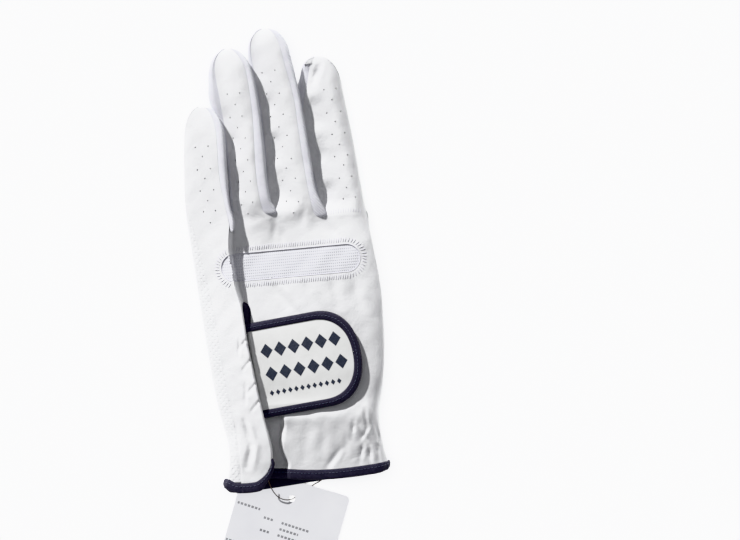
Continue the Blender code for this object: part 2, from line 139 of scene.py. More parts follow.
# Tip, length of the rounded tip, and x at y of the outer edges and of the seams of the back leather
Finger = namedtuple("Finger", "name tip round left left_seam seam right")
FINGERS = (
    Finger(
        "little", 112, 15, little_side,
        lambda y: mix(wrap_seam(y), little_side(y) + 0.2, ramp(y, 50, 64)),
        curve((48, -26.6), (52, -27.2), (60, -28.6), (70, -30), (100, -30.2), (112, -31)),
        curve((48, -25.5), (50, -24.9), (60, -26), (100, -26), (112, -27)),
    ),
    Finger(
        "ring", 140.5, 14,
        curve(
            (48, -25.5), (52, -26), (90, -26.5), (100, -27.5), (106, -29.4), (112, -31.6), (118, -32.4),
            (124, -31.9), (141, -30.5),
        ),
        curve((48, -25.2), (90, -25), (112, -26.6), (135, -28.4), (141, -28.4)),
        curve(
            (54, -5.8), (54.4, -7.6), (55.6, -9.3), (58, -10.2), (62, -10.8), (110, -11), (120, -11.5),
            (130, -12.6), (141, -15),
        ),
        curve(
            (54, -5.5), (54.6, -3.6), (57, -3.5), (61, -5.2), (68, -6), (90, -6.3), (110, -7), (120, -7.8),
            (130, -9.3), (141, -11),
        ),
    ),
    Finger(
        "middle", 149, 13,
        curve(
            (54, -5.5), (57, -6), (62, -6.9), (90, -7), (110, -7.8), (120, -8.7), (130, -10.2),
            (138, -10.6), (149, -10.6),
        ),
        curve((54, -5.2), (60, -5.6), (110, -6.4), (125, -8), (149, -9.6)),
        curve(
            (50.5, 19.6), (50.9, 17.8), (52.2, 16.4), (55, 15.4), (60, 14.6), (80, 12.7), (100, 11.5),
            (110, 11), (130, 7.7), (149, 4.5),
        ),
        curve(
            (50.5, 20), (51.1, 21.8), (53.5, 22), (57.5, 20.4), (62, 18.8), (80, 16.9), (100, 15.3),
            (120, 13.3), (140, 10.3), (149, 9),
        ),
    ),
    Finger(
        "index", 132.7, 16,
        curve((50.5, 20), (54, 19.2), (60, 18), (90, 15.2), (110, 13.3), (118, 13.4), (124, 14.4), (133, 13)),
        curve((50.5, 20.2), (60, 19.4), (110, 15.6), (120, 18.4), (133, 19.4)),
        index_side, index_side,
    ),
)

# Heights: z at y of the flap's crest, the low ground beside it, and the high index side
crest = curve(
    (-86, 11.8), (-78, 12.6), (-70, 15), (-60, 17.4), (-45, 18.6),
    (-10, 18.6), (5, 17.6), (15, 15.8), (30, 14),
    (44, 13), (52, 11.8), (65, 10.8), (100, 10.2), (112, 9),
)
foot = curve(
    (-86, 8.6), (-74, 9.6), (-64, 10.8), (-54, 11.6), (-49.5, 12.4), (-44, 10.6), (-25, 10.2), (0, 9.8),
    (10, 8.2), (25, 6.4), (48, 4.8),
)
high_side = curve(
    (-86, 11.8), (-76, 12.4), (-66, 13.6), (-57, 15), (-49.5, 16), (-43, 14.8), (-25, 14.6), (0, 14.6),
    (20, 13.6), (40, 12), (60, 10.4), (133, 9.2),
)
# The hollow between the flap and the back below the tab: x at y of its right rim, and its depth
hollow_rim = curve(
    (-80, -9), (-76, -8.6), (-73, -8.1), (-66, -9.9), (-61, -10.2), (-52, -8.2), (-47, -8.9), (-40, -9),
)
HOLLOW_DEPTH = 5.6
SIDE_HEIGHT = 4.2
TIP_HEIGHT = 4.4
LOW_SIDE = 3.8
RIDGE = 10.2
VALLEYS = (5.0, 8.8, 9.2)
TIP_POWER = 2.3
ROLL = 8.0
SLIT_TOP_Y = 11.5
tongue_width = curve(
    (-73, -2.5), (-9, -2.5), (-6, -1.5), (-3, 1.8), (0, 2.5), (3.5, 3.1), (7.3, 3.5), (9.4, 3.1), (10.7, 2.1),
    (11.5, 0.9),
)

THUMB_ROOM = 6.8
CUFF_LIFT = 2.8

KNUCKLE_CENTRE = (2, 29)
KNUCKLE_STRAIGHT = 56.6
KNUCKLE_RADIUS = 7

# Short creases: start, end, depth and width
CREASES = (
    ((-28.6, -49), (-26.3, -61.5), 1.6, 1.4), ((-26.3, -61.5), (-28.9, -72), 1.6, 1.6),
    ((-32.8, -50), (-33.2, -81), 0.35, 0.5), ((-27.5, -7.5), (-28.3, -16), 0.5, 0.7),
    ((-26.2, -30), (-27, -40), 0.55, 0.8), ((32.6, -48), (33.3, -58), 0.9, 0.9),
    ((26.8, -53), (24.8, -63), 0.8, 0.9), ((28, -56), (33.5, -66), 0.8, 0.8),
    ((33.3, -58), (29, -64), 0.6, 0.8), ((37.4, -56), (39, -65), 0.7, 0.8),
    ((30.2, -65), (28, -75), 0.8, 0.9), ((33.6, -67), (33.2, -76), 0.8, 0.9),
    ((37.5, -67), (37.8, -76), 0.6, 0.8), ((22.5, -60), (21, -70), 0.4, 1.4),
    ((18.8, -67), (10.5, -77), 0.7, 1.5), ((-10, 20), (2, 4), 0.7, 2.2), ((8, 21), (10, 8), 0.5, 2.4),
    ((22, 21), (24, 6), 0.7, 2.2), ((33, 19), (34.5, 5), 0.5, 2.0), ((-4.5, 50), (0, 39), 0.7, 2.0),
    ((21.5, 48), (27.5, 39), 0.8, 2.0), ((-4, 51), (-6, 42), 0.4, 1.6), ((36, 50), (42, 36), 0.4, 3),
    ((12, 60), (9, 48), 0.5, 2.0), ((34, 62), (31, 50), 0.4, 2.4), ((24.5, 127), (22, 120), 1.6, 1.5),
    ((-43, 30), (-38, 6), 0.5, 3), ((-41, -5), (-31, 12), 0.3, 3), ((4, -50), (0, -70), 0.35, 2.4),
    ((12, -52), (9, -72), 0.3, 2.0), ((-26, 108), (-24, 94), 0.3, 2), ((-41, 84), (-34, 72), 0.35, 2.6),
)
# y where the flap's edge is notched
NOTCHES = (-7, -17.5, -29.5, -38.5)


# --- Heights ------------------------------------------------------------------------------------


def cuff_lift(y):
    return CUFF_LIFT * (1 - ramp(y, -68, -52))


def under_height(x, y):
    """Height of the hand's underside: flat, but raised over the folded thumb and at the cuff."""
    over_thumb = ramp(x, 3, 14) * ramp(y, -48, -30) * (1 - ramp(y, 46, 64))
    return THUMB_ROOM * over_thumb + cuff_lift(y) * (1 - over_thumb)


def near_line(x, y, start, end, width):
    """1 on a line, falling to 0 beside it and past its ends."""
    ax, ay, bx, by = *start, *end
    dx, dy = bx - ax, by - ay
    share = np.clip(((x - ax) * dx + (y - ay) * dy) / (dx * dx + dy * dy), 0, 1)
    distance = np.hypot(x - ax - share * dx, y - ay - share * dy)
    return np.exp(-((distance / width) ** 2)) * (0.35 + 0.65 * np.sin(np.pi * np.clip(share, 0.05, 0.95)))


def wrinkles(x, y):
    """Soft folds of the leather of the back."""
    z = 0.16 * np.sin(x * 0.31 + 1.3 * np.sin(y * 0.11)) * np.sin(y * 0.17 + 0.8 * np.sin(x * 0.13))
    z = z + 0.10 * np.sin(x * 0.55 - y * 0.21 + 2.0) * np.sin(y * 0.33 + x * 0.11)
    for start, end, depth, width in CREASES:
        z = z - depth * near_line(x, y, start, end, width)
        beside = [(at + 2 * width, height) for at, height in (start, end)]
        z = z + 0.35 * depth * near_line(x, y, *beside, width)
    for at in NOTCHES:
        edge = flap_edge(at)
        z = z - 0.6 * near_line(x, y, (edge + 4, at + 4), (edge - 4.5, at - 5), 0.65)
        z = z - 0.22 * near_line(x, y, (edge - 3.5, at - 3.5), (edge - 5, at - 6.5), 0.9)
    return z


def gathers(x, y):
    """Fine puckers where the elastic pulls the leather in."""
    left = ramp(x, -39, -37.4) * (1 - ramp(x, -35, -33.4)) * ramp(y, -80, -76) * (1 - ramp(y, -55, -48))
    inner = ramp(x, -31, -28) * (1 - ramp(x, -23, -20)) * ramp(y, -46, -42) * (1 - ramp(y, -8, -4))
    right = ramp(x, 20, 27) * (1 - ramp(x, 40, 42)) * ramp(y, -78, -74) * (1 - ramp(y, -46, -42))
    return (
        0.14 * left * np.sin(y * 3.1 + 2.2 * np.sin(x * 1.7 + y * 0.9))
        + 0.10 * inner * np.sin(y * 0.9 + x * 0.4)
        + 0.13 * right * np.sin(y * 0.9 + 0.8 * np.sin(x * 0.7)) * np.sin(x * 0.8)
    )


def flap_height(x, y, right=None):
    """The little finger's side: it rises from the outline to a crest at the right."""
    left = little_side(y)
    right = flap_edge(y) if right is None else right
    s = np.clip((x - left) / (right - left), 0, 1)
    return mix(SIDE_HEIGHT + cuff_lift(y), crest(y), 0.5 * np.sqrt(s) + 0.5 * s)


def ground(x, y, rolled=True):
    """The back right of the slit: low beside the flap, high over the thumb, rolling over the right edge."""
    z = mix(foot(y), high_side(y), ramp(x, flap_edge(y) - 2, 30))
    if not rolled:
        return z
    rim = hollow_rim(y)
    hollow = (1 - ramp(x, rim - 2.2, rim + 0.6)) * (1 - ramp(y, -47.5, -43)) * mix(0.25, 1, ramp(y, -77, -71))
    return roll_off(x, y, z - HOLLOW_DEPTH * hollow, under_height(x, y))


def roll_off(x, y, z, low):
    """Turns a height down towards low over the index finger's side."""
    t = np.clip((x - index_side(y)) / ROLL + 1, 0, 1)
    middle = mix(low, z, 0.42)
    return mix(middle, z, np.sqrt(1 - t * t))


def boundary(number, y):
    """x at y of the line on the left of a strip of the hand, or on the right of the last."""
    if number == 0:
        return wrap_seam(y)
    if number == 4:
        return index_side(y)
    share = (BASE_Y[number] - y) / (BASE_Y[number] - SPLIT_Y)
    return mix(CROTCH_X[number - 1], SPLITS[number - 1], share)


def base_line(strip, u):
    """y where a strip's finger begins, at a share across it."""
    return mix(BASE_Y[strip], BASE_Y[strip + 1], u)


def tip_shape(strip, y):
    """(narrowing, height) of a finger at y: both are 1 until its tip begins."""
    t = np.clip((y - FINGERS[strip].tip) / FINGERS[strip].round + 1, 0, 0.9995)
    return (1 - t**TIP_POWER) ** (1 / TIP_POWER), np.sqrt(1 - t**2.2)


def close_tip(z, tall):
    """A height drawn towards the middle of the fingertip as the tip closes."""
    return mix(TIP_HEIGHT, z, mix(0.1, 1, tall))


def finger_edges(strip, y):
    """x of the outer left, left seam, right seam and outer right of a finger, with its tip's narrowing."""
    finger = FINGERS[strip]
    narrow, _ = tip_shape(strip, y)
    left, right = finger.left(y), finger.right(y)
    return [mix((left + right) / 2, x, narrow) for x in (left, finger.left_seam(y), finger.seam(y), right)]


def finger_top(strip, x, y):
    """Height of a finger's back. Each finger is low on its left and high on its right."""
    left, _, seam, _ = finger_edges(strip, y)
    _, tall = tip_shape(strip, y)
    if strip == 0:
        return close_tip(flap_height(x, y, FINGERS[0].seam(y)), tall)
    before = FINGERS[strip - 1].tip
    low = mix(VALLEYS[strip - 1], LOW_SIDE, ramp(y, BASE_Y[strip], BASE_Y[strip] + 9))
    low = low + 1.2 * ramp(y, before - 8, before + 6)
    high = high_side(y)
    if strip < 3:
        high = mix(VALLEYS[strip], RIDGE, ramp(y, BASE_Y[strip + 1], BASE_Y[strip + 1] + 9))
    s = np.clip((x - left) / np.maximum(seam - left, 0.1), 0, 1)
    z = mix(low, high, ramp(s, 0.12, 1.02)) + 0.9 * ramp(y, 44, 60) * np.sin(np.pi * s**1.6)
    # the finger before shades this one's low side, where soft waves show
    waves = np.sin(y * 0.30 + strip * 1.7) + 0.2 * np.sin(y * 0.71 + strip)
    shaded = ramp(y, 56, 66) * (1 - ramp(y, before - 24, before - 8)) * tall
    z = z + 0.75 * waves * np.exp(-(((s - 0.24) / 0.24) ** 2)) * shaded
    return close_tip(roll_off(x, y, z, 0.0) if strip == 3 else z, tall)


def bare_top(strip, u, x, y):
    """Height of a strip without its folds: hand below the crotch, finger above, mixed between."""
    base = base_line(strip, u)
    hand = flap_height(x, y) if strip == 0 else ground(x, y)
    return mix(hand, finger_top(strip, x, y), ramp(y, base - 17, base))


def back_top(strip, u, x, y):
    return bare_top(strip, u, x, y) + wrinkles(x, y) + gathers(x, y)


# --- Meshes ---------------------------------------------------------------------------------------


def add_object(name, data):
    obj = bpy.data.objects.new(name, data)
    bpy.context.scene.collection.objects.link(obj)
    return obj


@contextmanager
def editing(obj):
    """An object's mesh as a bmesh, written back afterwards."""
    bm = bmesh.new()
    bm.from_mesh(obj.data)
    yield bm
    bm.to_mesh(obj.data)
    bm.free()


class Sheets:
    """Grids of points that become one mesh."""

    def __init__(self):
        self.points, self.faces, self.count = [], [], 0

    def grid(self, points, flip=False):
        rows, columns = points.shape[:2]
        index = np.arange(rows * columns).reshape(rows, columns) + self.count
        quads = np.stack([index[:-1, :-1], index[:-1, 1:], index[1:, 1:], index[1:, :-1]], -1).reshape(-1, 4)
        self.faces.append(quads[:, ::-1] if flip else quads)
        self.points.append(points.reshape(-1, 3))
        self.count += rows * columns
        return self

    def build(self, name, weld=0.02):
        mesh = bpy.data.meshes.new(name)
        mesh.from_pydata((np.concatenate(self.points) * MM).tolist(), [], np.concatenate(self.faces).tolist())
        obj = add_object(name, mesh)
        with editing(obj) as bm:
            bmesh.ops.remove_doubles(bm, verts=bm.verts, dist=weld * MM)
            bmesh.ops.dissolve_degenerate(bm, edges=bm.edges, dist=0.002 * MM)
        mesh.shade_smooth()
        return obj


def stack(x, y, z):
    x, y, z = np.broadcast_arrays(x, y, z)
    return np.stack([x, y, z], -1).astype(float)


def thicken(obj, thickness):
    """Gives a sheet its thickness, on the side away from its normals."""
    solid = obj.modifiers.new("thickness", "SOLIDIFY")
    solid.thickness = thickness * MM
    solid.offset = -1
    solid.use_even_offset = False
    bpy.context.view_layer.update()
    mesh = bpy.data.meshes.new_from_object(obj.evaluated_get(bpy.context.evaluated_depsgraph_get()))
    old = obj.data
    obj.modifiers.clear()
    obj.data = mesh
    bpy.data.meshes.remove(old)
    mesh.name = obj.name
    mesh.shade_smooth()


def finish_piece(obj, body, look, slot, *nodes):
    """Gives a piece its material and hides the CAD nodes it stands for; attaches it to the body it moves with,
    but only bakes the transform of a tab piece. The slot argument is not used.
    """
    obj.data.materials.clear()
    obj.data.materials.append(look)
    if nodes:
        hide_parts(*nodes)
    if body == "tab":
        start, end = ((*(c * MM for c in tab_place(along, 0)), 0) for along in TAB_BEND)
        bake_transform(obj)
    else:
        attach(obj, body)


# --- Materials -------------------------------------------------------------------------------------


class Value:
    """A number that varies over a material; arithmetic on it makes Math nodes."""

    def __init__(self, look, socket):
        self.look, self.socket = look, socket

    def __add__(self, other):
        return self.look.math("ADD", self, other)

    def __sub__(self, other):
        return self.look.math("SUBTRACT", self, other)

    def __mul__(self, other):
        return self.look.math("MULTIPLY", self, other)

    def __pow__(self, power):
        """The power of its positive part; what is below 0 gives 0."""
        return self.look.math("POWER", self.look.math("MAXIMUM", self, 0.0), power)


class Look:
    """A material of nodes over a mesh's own coordinates, in millimetres."""

    def __init__(self, name, colour, roughness, **values):
        self.material = bpy.data.materials.new(name)
        self.material.use_nodes = True
        self.nodes, self.links = self.material.node_tree.nodes, self.material.node_tree.links
        self.shader = self.nodes["Principled BSDF"].inputs
        self.shader["Base Color"].default_value = (*colour, 1)
        self.shader["Roughness"].default_value = roughness
        for key, value in values.items():
            self.shader[key.replace("_", " ")].default_value = value
        place = self.node("TexCoord", {}, "Object")
        self.place = self.node("VectorMath", {0: place, "Scale": 1 / MM}, 0, operation="SCALE")
        self.x, self.y, self.z = (self.node("SeparateXYZ", {0: self.place}, k) for k in range(3))

    def node(self, kind, inputs, output, **settings):
        """Adds a node, sets or links its inputs, and gives one of its outputs."""
        made = self.nodes.new("ShaderNode" + kind)
        for key, value in settings.items():
            setattr(made, key, value)
        for key, value in inputs.items():
            self.put(made.inputs[key], value)
        return Value(self, made.outputs[output])

    def put(self, socket, value):
        if isinstance(value, Value):
            self.links.new(value.socket, socket)
        else:
            socket.default_value = value

    def math(self, operation, a, b=0.0, c=0.0):
        return self.node("Math", {0: a, 1: b, 2: c}, 0, operation=operation)

    def noise(self, size, detail=3.0, roughness=0.55, distortion=0.0):
        """Noise whose features are about size across."""
        inputs = {"Scale": 1 / size, "Detail": detail, "Roughness": roughness, "Distortion": distortion}
        return self.node("TexNoise", {"Vector": self.place, **inputs}, "Fac")

    def cells(self, size, feature="DISTANCE_TO_EDGE"):
        return self.node("TexVoronoi", {"Vector": self.place, "Scale": 1 / size}, "Distance", feature=feature)

    def wave(self, value, pitch):
        return self.math("SINE", value * (2 * math.pi / pitch))

    def scaled(self, value, low, high, out_low=0.0, out_high=1.0):
        inputs = {"From Min": low, "From Max": high, "To Min": out_low, "To Max": out_high}
        return self.node("MapRange", {"Value": value, **inputs}, "Result", clamp=True)

    def colours(self, share, low, high):
        """Colours the surface from low to high; returns the steps between."""
        colour = self.node("ValToRGB", {"Fac": share}, "Color")
        steps = colour.socket.node.color_ramp.elements
        steps[0].color, steps[1].color = (*low, 1), (*high, 1)
        self.put(self.shader["Base Color"], colour)
        return steps

    def rough(self, share, low, high):
        self.put(self.shader["Roughness"], self.scaled(share, 0.25, 0.75, low, high))

    def bump(self, height, depth, strength=1.0):
        inputs = {"Distance": depth * MM, "Strength": strength, "Height": height}
        self.put(self.shader["Normal"], self.node("Bump", inputs, "Normal"))


def make_leather(name, dimples):
    look = Look(name, (0.84, 0.84, 0.85), 0.5, Specular_IOR_Level=0.35)
    fine, broad = look.noise(0.5, 4), look.noise(14, 4, 0.6)
    grain = look.scaled(look.cells(0.75), 0.0, 0.22)
    height = grain * 0.45 + fine * 0.8 + look.noise(3.2, 3) * 1.6 + look.noise(9, 3, 0.6, 0.6) * 5.0
    if dimples:
        height = height - (look.wave(look.x, 3.0) * look.wave(look.y, 3.0)) ** 2.0 * 2.2
    look.bump(height, 0.13, 0.55)
    look.colours(look.scaled(broad, 0.3, 0.7), (0.78, 0.78, 0.785), (0.86, 0.86, 0.865))
    look.rough(fine, 0.46, 0.62)
    return look.material


def make_knit():
    look = Look("white_knit_cloth", (0.80, 0.79, 0.86), 0.88, Sheen_Weight=0.25, Sheen_Roughness=0.5)
    ribs = look.wave(look.y * 0.6 + look.x + look.z, 0.85)
    rows = look.wave(look.y - look.x * 0.4, 0.75)
    look.bump(ribs * 0.5 + rows * 0.5 + look.noise(0.8, 3) * 2.0, 0.2, 0.75)
    # Colour: random tone, plus painted shade from the ribs, darker in their troughs and lighter on their
    # crests.
    tone_and_painted_shade = look.scaled(look.noise(3, 3), 0.3, 0.7, 0.25, 0.75) + ribs * 0.1
    look.colours(tone_and_painted_shade, (0.78, 0.78, 0.84), (0.90, 0.90, 0.935))
    return look.material


def make_mesh_cloth():
    look = Look("white_mesh_cloth", (0.80, 0.80, 0.86), 0.9, Sheen_Weight=0.2, Sheen_Roughness=0.5)
    pores = (look.wave(look.x + look.y * 0.75, 2.1) * look.wave(look.x - look.y * 0.75, 2.1)) ** 1.4
    threads = look.wave(look.y, 0.55) * look.wave(look.x, 0.6)
    look.bump(threads * 0.3 - pores * 1.6, 0.15, 0.8)
    # Colour: random tone, with painted shade darkening the pores where the mesh opens.
    tone_and_painted_shade = look.scaled(look.noise(5, 3), 0.3, 0.7, 0.75, 1.0) - pores
    look.colours(tone_and_painted_shade, (0.69, 0.69, 0.75), (0.86, 0.86, 0.89))
    return look.material


def make_tab_cloth():
    look = Look("tab_synthetic", (0.82, 0.82, 0.81), 0.45, Specular_IOR_Level=0.45)
    fine = look.noise(0.7, 4)
    look.bump(fine + look.noise(4, 3) * 1.5, 0.07, 0.6)
    look.colours(look.scaled(look.noise(9, 4), 0.3, 0.7), (0.78, 0.78, 0.765), (0.84, 0.84, 0.83))
    look.rough(fine, 0.4, 0.55)
    return look.material


def make_tape(name, low, high, roughness=0.8):
    look = Look(name, high, roughness, Sheen_Weight=0.15, Sheen_Roughness=0.5)
    look.bump(look.wave(look.x, 0.55) * look.wave(look.y, 0.55) + look.noise(0.5, 3) * 1.2, 0.09, 0.7)
    look.colours(look.scaled(look.noise(1.1, 4, 0.7), 0.3, 0.7), low, high)
    look.rough(look.noise(2, 3), roughness - 0.12, roughness + 0.08)
    return look.material


def make_pile(name, size, depth):
    look = Look(name, (0.80, 0.80, 0.82), 0.95, Sheen_Weight=0.4, Sheen_Roughness=0.6)
    look.bump(look.cells(size, "F1") + look.noise(size * 0.6, 4, 0.7), depth, 0.9)
    look.colours(look.scaled(look.noise(size * 1.5, 4), 0.25, 0.75), (0.70, 0.70, 0.73), (0.86, 0.86, 0.87))
    return look.material


def make_elastic_cloth():
    look = Look("elastic_cloth", (0.80, 0.80, 0.81), 0.88)
    ribs = look.wave(look.x, 0.9)
    look.bump(ribs + look.wave(look.y, 0.5) * 0.4, 0.15, 0.8)
    # Colour follows the ribs: painted shade, darker in their troughs and lighter on their crests.
    look.colours(look.scaled(ribs, -1, 1), (0.70, 0.70, 0.73), (0.85, 0.85, 0.86))
    return look.material


# The card's print: its turn, and (place up the card, middle, half length) of each row of dashes
PRINT_TURN = math.radians(-23)
CARD_ROWS = (
    (-97.3, 8, 6), (-100.6, 19.5, 2.4), (-100.6, 34, 7.4), (-103.9, 31.5, 5),
    (-107.2, 19.5, 2.4), (-107.2, 31.5, 5),
    (-110.5, 33, 6.5), (-117, 17, 15), (-120.3, 14, 12), (-123.6, 17, 15), (-126.9, 10, 8), (-136, 14, 12),
    (-139.3, 17, 15), (-142.6, 12, 10),
)


def make_card():
    """Satin card with rows of plain dashes on its upper face, in place of a label's small print."""
    look = Look("satin_card", (0.72, 0.72, 0.75), 0.42, Coat_Weight=0.15, Coat_Roughness=0.35)
    fibres = look.noise(0.6, 5, 0.6)
    look.bump(fibres + look.noise(30, 2) * 6, 0.02, 0.5)
    c, s = math.cos(PRINT_TURN), math.sin(PRINT_TURN)
    along, up = look.x * c + look.y * s, look.y * c - look.x * s
    marks = [
        look.math("COMPARE", up, row, 0.6) * look.math("COMPARE", along, *span) for row, *span in CARD_ROWS
    ]
    ink = sum(marks[1:], marks[0])
    ink = ink * look.math("GREATER_THAN", look.wave(along, 1.9), -0.55)
    ink = ink * look.math("GREATER_THAN", look.z, 1.8)
    paper = look.scaled(look.noise(25, 4), 0.3, 0.7, 0.5, 1.0)
    steps = look.colours(paper * (ink * -0.8 + 1.0), (0.03, 0.03, 0.035), (0.86, 0.86, 0.88))
    steps.new(0.45).color = (0.80, 0.80, 0.83, 1)
    look.rough(fibres, 0.36, 0.5)
    return look.material


def make_thread(name, low, high):
    look = Look(name, high, 0.7, Sheen_Weight=0.2)
    twist = look.wave(look.x + look.y + look.z, 0.45)
    look.bump(twist + look.noise(0.2, 2), 0.06, 0.8)
    # Colour follows the twist: painted shade, darker between the strands and lighter on their crests.
    look.colours(look.scaled(twist, -1, 1), low, high)
    return look.material


LEATHER_LOOK = make_leather("white_glove_leather", False)
PALM_LOOK = make_leather("white_palm_leather", True)
KNIT_LOOK = make_knit()
MESH_LOOK = make_mesh_cloth()
TAB_LOOK = make_tab_cloth()
NAVY_LOOK = make_tape("navy_woven_tape", (0.014, 0.012, 0.026), (0.037, 0.033, 0.062))
PRINT_LOOK = make_tape("navy_print", (0.018, 0.024, 0.045), (0.032, 0.040, 0.068), 0.5)
HOOK_LOOK = make_pile("hook_cloth", 0.5, 0.25)
LOOP_LOOK = make_pile("loop_pile", 0.35, 0.2)
ELASTIC_LOOK = make_elastic_cloth()
CARD_LOOK = make_card()
THREAD_LOOK = make_thread("white_thread", (0.70, 0.69, 0.75), (0.88, 0.87, 0.92))
NAVY_THREAD_LOOK = make_thread("navy_thread", (0.05, 0.055, 0.09), (0.12, 0.13, 0.19))
STRING_LOOK = make_thread("brown_thread", (0.14, 0.11, 0.09), (0.33, 0.27, 0.23))


# --- Camera and cord -------------------------------------------------------------------------------

# The camera looks straight down; VIEW_WIDTH is what it sees across at the height VIEW_PLANE
VIEW_CENTRE = (41.7, 21.8)
VIEW_UP = (0.0889, 0.996)
VIEW_WIDTH = 376
VIEW_HEIGHT = 1200
VIEW_PLANE = 9


def make_camera():
    data = bpy.data.cameras.new("camera")
    data.sensor_width = 36
    data.lens = 36 * (VIEW_HEIGHT - VIEW_PLANE) / VIEW_WIDTH
    data.clip_end = 20
    camera = add_object("camera", data)
    up = Vector((*VIEW_UP, 0)).normalized()
    right = up.cross(Vector((0, 0, 1)))
    turn = Matrix((right, up, Vector((0, 0, 1)))).transposed().to_4x4()
    camera.matrix_world = Matrix.Translation(Vector((*VIEW_CENTRE, VIEW_HEIGHT)) * MM) @ turn
    bpy.context.scene.camera = camera


make_camera()

STRING_DIAMETER = 0.5
STRING_ROUTE = (
    (10, -79, 7), (9, -81.2, 6), (7.4, -82.8, 3.8), (5.4, -84, 1.6), (3.2, -85.1, 0.5),
    (0, -86.8, 0.3), (-5.4, -90.1, 0.3), (-7.5, -91, 0.6), (-8.5, -91.3, 1.5), (-9.2, -91.4, 2.3),
    (-10.8, -91.4, 2.8), (-14.6, -90, 3.2), (-16.6, -87.8, 3.9), (-18, -85.2, 4.9), (-19, -82, 6),
    (-19.4, -79.6, 6.8),
)


def frames(path):
    """Two directions square to a path, which turn as little as they can."""
    along = unit(np.gradient(path, axis=0))
    side = np.cross(along[0], (0, 0, 1.0))
    if np.linalg.norm(side) < 0.1:
        side = np.cross(along[0], (1.0, 0, 0))
    sides = []
    for direction in along:
        side = unit(side - direction * np.dot(side, direction))
        sides.append(side)
    return np.array(sides), np.cross(sides, along)


def lengths_along(path):
    """The length travelled at each point of a path."""
    return np.concatenate([[0], np.cumsum(np.linalg.norm(np.diff(path, axis=0), axis=1))])


def tube(sheets, path, radius, around=8, twist=0.0):
    """A round tube along a path with closed ends; a twist gives it two strands."""
    path = np.array(path, float)
    side, up = frames(path)
    turns = np.linspace(0, 2 * math.pi, around + 1)[None, :]
    strands = 0.18 * np.cos(2 * (turns - lengths_along(path)[:, None] * twist)) if twist else 0
    reach = radius * (1 + strands) * np.ones((len(path), 1))
    across, over = ((turned(turns) * reach)[..., None] for turned in (np.cos, np.sin))
    round_it = side[:, None] * across + up[:, None] * over
    caps = np.repeat(path[[0, -1], None], around + 1, axis=1)
    sheets.grid(np.concatenate([caps[:1], path[:, None] + round_it, caps[1:]]))


def smooth_path(points, step):
    """A path with a point every step along the smooth curve through points."""
    length = lengths_along(points)
    at = np.linspace(0, length[-1], max(2, int(length[-1] / step)))
    return np.stack([curve(*zip(length, column))(at) for column in np.array(points, float).T], -1)


def make_string():
    path = smooth_path(STRING_ROUTE, 0.12)
    sheets = Sheets()
    tube(sheets, path, STRING_DIAMETER / 2, 8, 4.5)
    string = sheets.build("tag_string_thread", weld=0.001)
    string.data.materials.append(STRING_LOOK)
    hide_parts("tag_string")
    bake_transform(string)


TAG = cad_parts["hang_tag"]
TAG.data.materials.clear()
TAG.data.materials.append(CARD_LOOK)
make_string()


# --- Back of the hand --------------------------------------------------------------------------------

COLUMNS = 30
PALM_ROWS = 170
FINGER_STEP = 0.8

# The flap's lower edge: y at a share across it
flap_bottom = curve((0, -80.4), (0.4, -80.4), (0.62, -79.9), (0.8, -78.2), (0.92, -75.6), (1, -71.5))


# The back's lower edge right of the slit: y at x
right_bottom = curve((-30, -73.5), (-8, -75.3), (0, -76.3), (10, -77), (30, -76.6), (45, -75.4))


def slit_dip(x, y):
    """How far the right part is pressed down where it lies beneath the flap."""
    edge = flap_edge(y)
    return 1.1 * (1 - ramp(x, edge - 5, edge + 1)) * (1 - ramp(y, 8, 14))


def under_slit(y):
    """How far the right part reaches left beneath the flap."""
    return 7.5 * (1 - ramp(y, 6, 13))


def shares_across(strip):
    """Shares across a strip, closer together towards an edge that curls over."""
    return 1 - (1 - np.linspace(0, 1, COLUMNS)[None, :]) ** (1.5, 1, 1, 1.6)[strip]


def strip_grid(strip):
    """(x, y, u) of the hand part of a strip."""
    u = shares_across(strip)
    bottom = flap_bottom(u)
    if strip > 0:
        left = boundary(strip, SPLIT_Y + 1) if strip > 1 else flap_edge(SPLIT_Y + 1) - 7
        bottom = right_bottom(mix(left, boundary(strip + 1, SPLIT_Y + 1), u))
    y = mix(bottom, base_line(strip, u), np.linspace(0, 1, PALM_ROWS)[:, None])
    left, right = boundary(strip, y), boundary(strip + 1, y)
    if strip == 0:
        right = flap_edge(y) - 0.9
    elif strip == 1:
        left = mix(flap_edge(y) + 0.6 - under_slit(y), CROTCH_X[0], ramp(y, 44, 48))
    return mix(left, right, u), y, u + 0 * y


def rows_of_finger(count):
    """Shares along a finger, closer together towards its tip."""
    return np.sin(np.linspace(0, 1, count)[:, None] * math.pi / 2) ** 0.92


def finger_grid(strip):
    """(x, y, u) of a finger, starting where its strip of the hand ends."""
    u = shares_across(strip)
    rows = int((FINGERS[strip].tip - 50) / FINGER_STEP)
    y = mix(base_line(strip, u), FINGERS[strip].tip - 0.02, rows_of_finger(rows))
    _, left, right, _ = finger_edges(strip, y)
    if strip == 0:
        right = right - 0.9 * (1 - ramp(y, 48, 51))
    else:
        left = mix(CROTCH_X[strip - 1], left, ramp(y, BASE_Y[strip], BASE_Y[strip] + 3))
    if strip == 3:
        right = mix(index_side(y), right, ramp(y, 52, 60))
    elif strip > 0:
        right = mix(CROTCH_X[strip], right, ramp(y, BASE_Y[strip + 1] - 0.01, BASE_Y[strip + 1] + 1.5))
    x = mix(left, right, u)
    settling = 1 - ramp(np.linspace(0, 1, rows)[:, None], 0, 0.12)
    return x + (strip_grid(strip)[0][-1:] - x[:1]) * settling, y, u + 0 * y


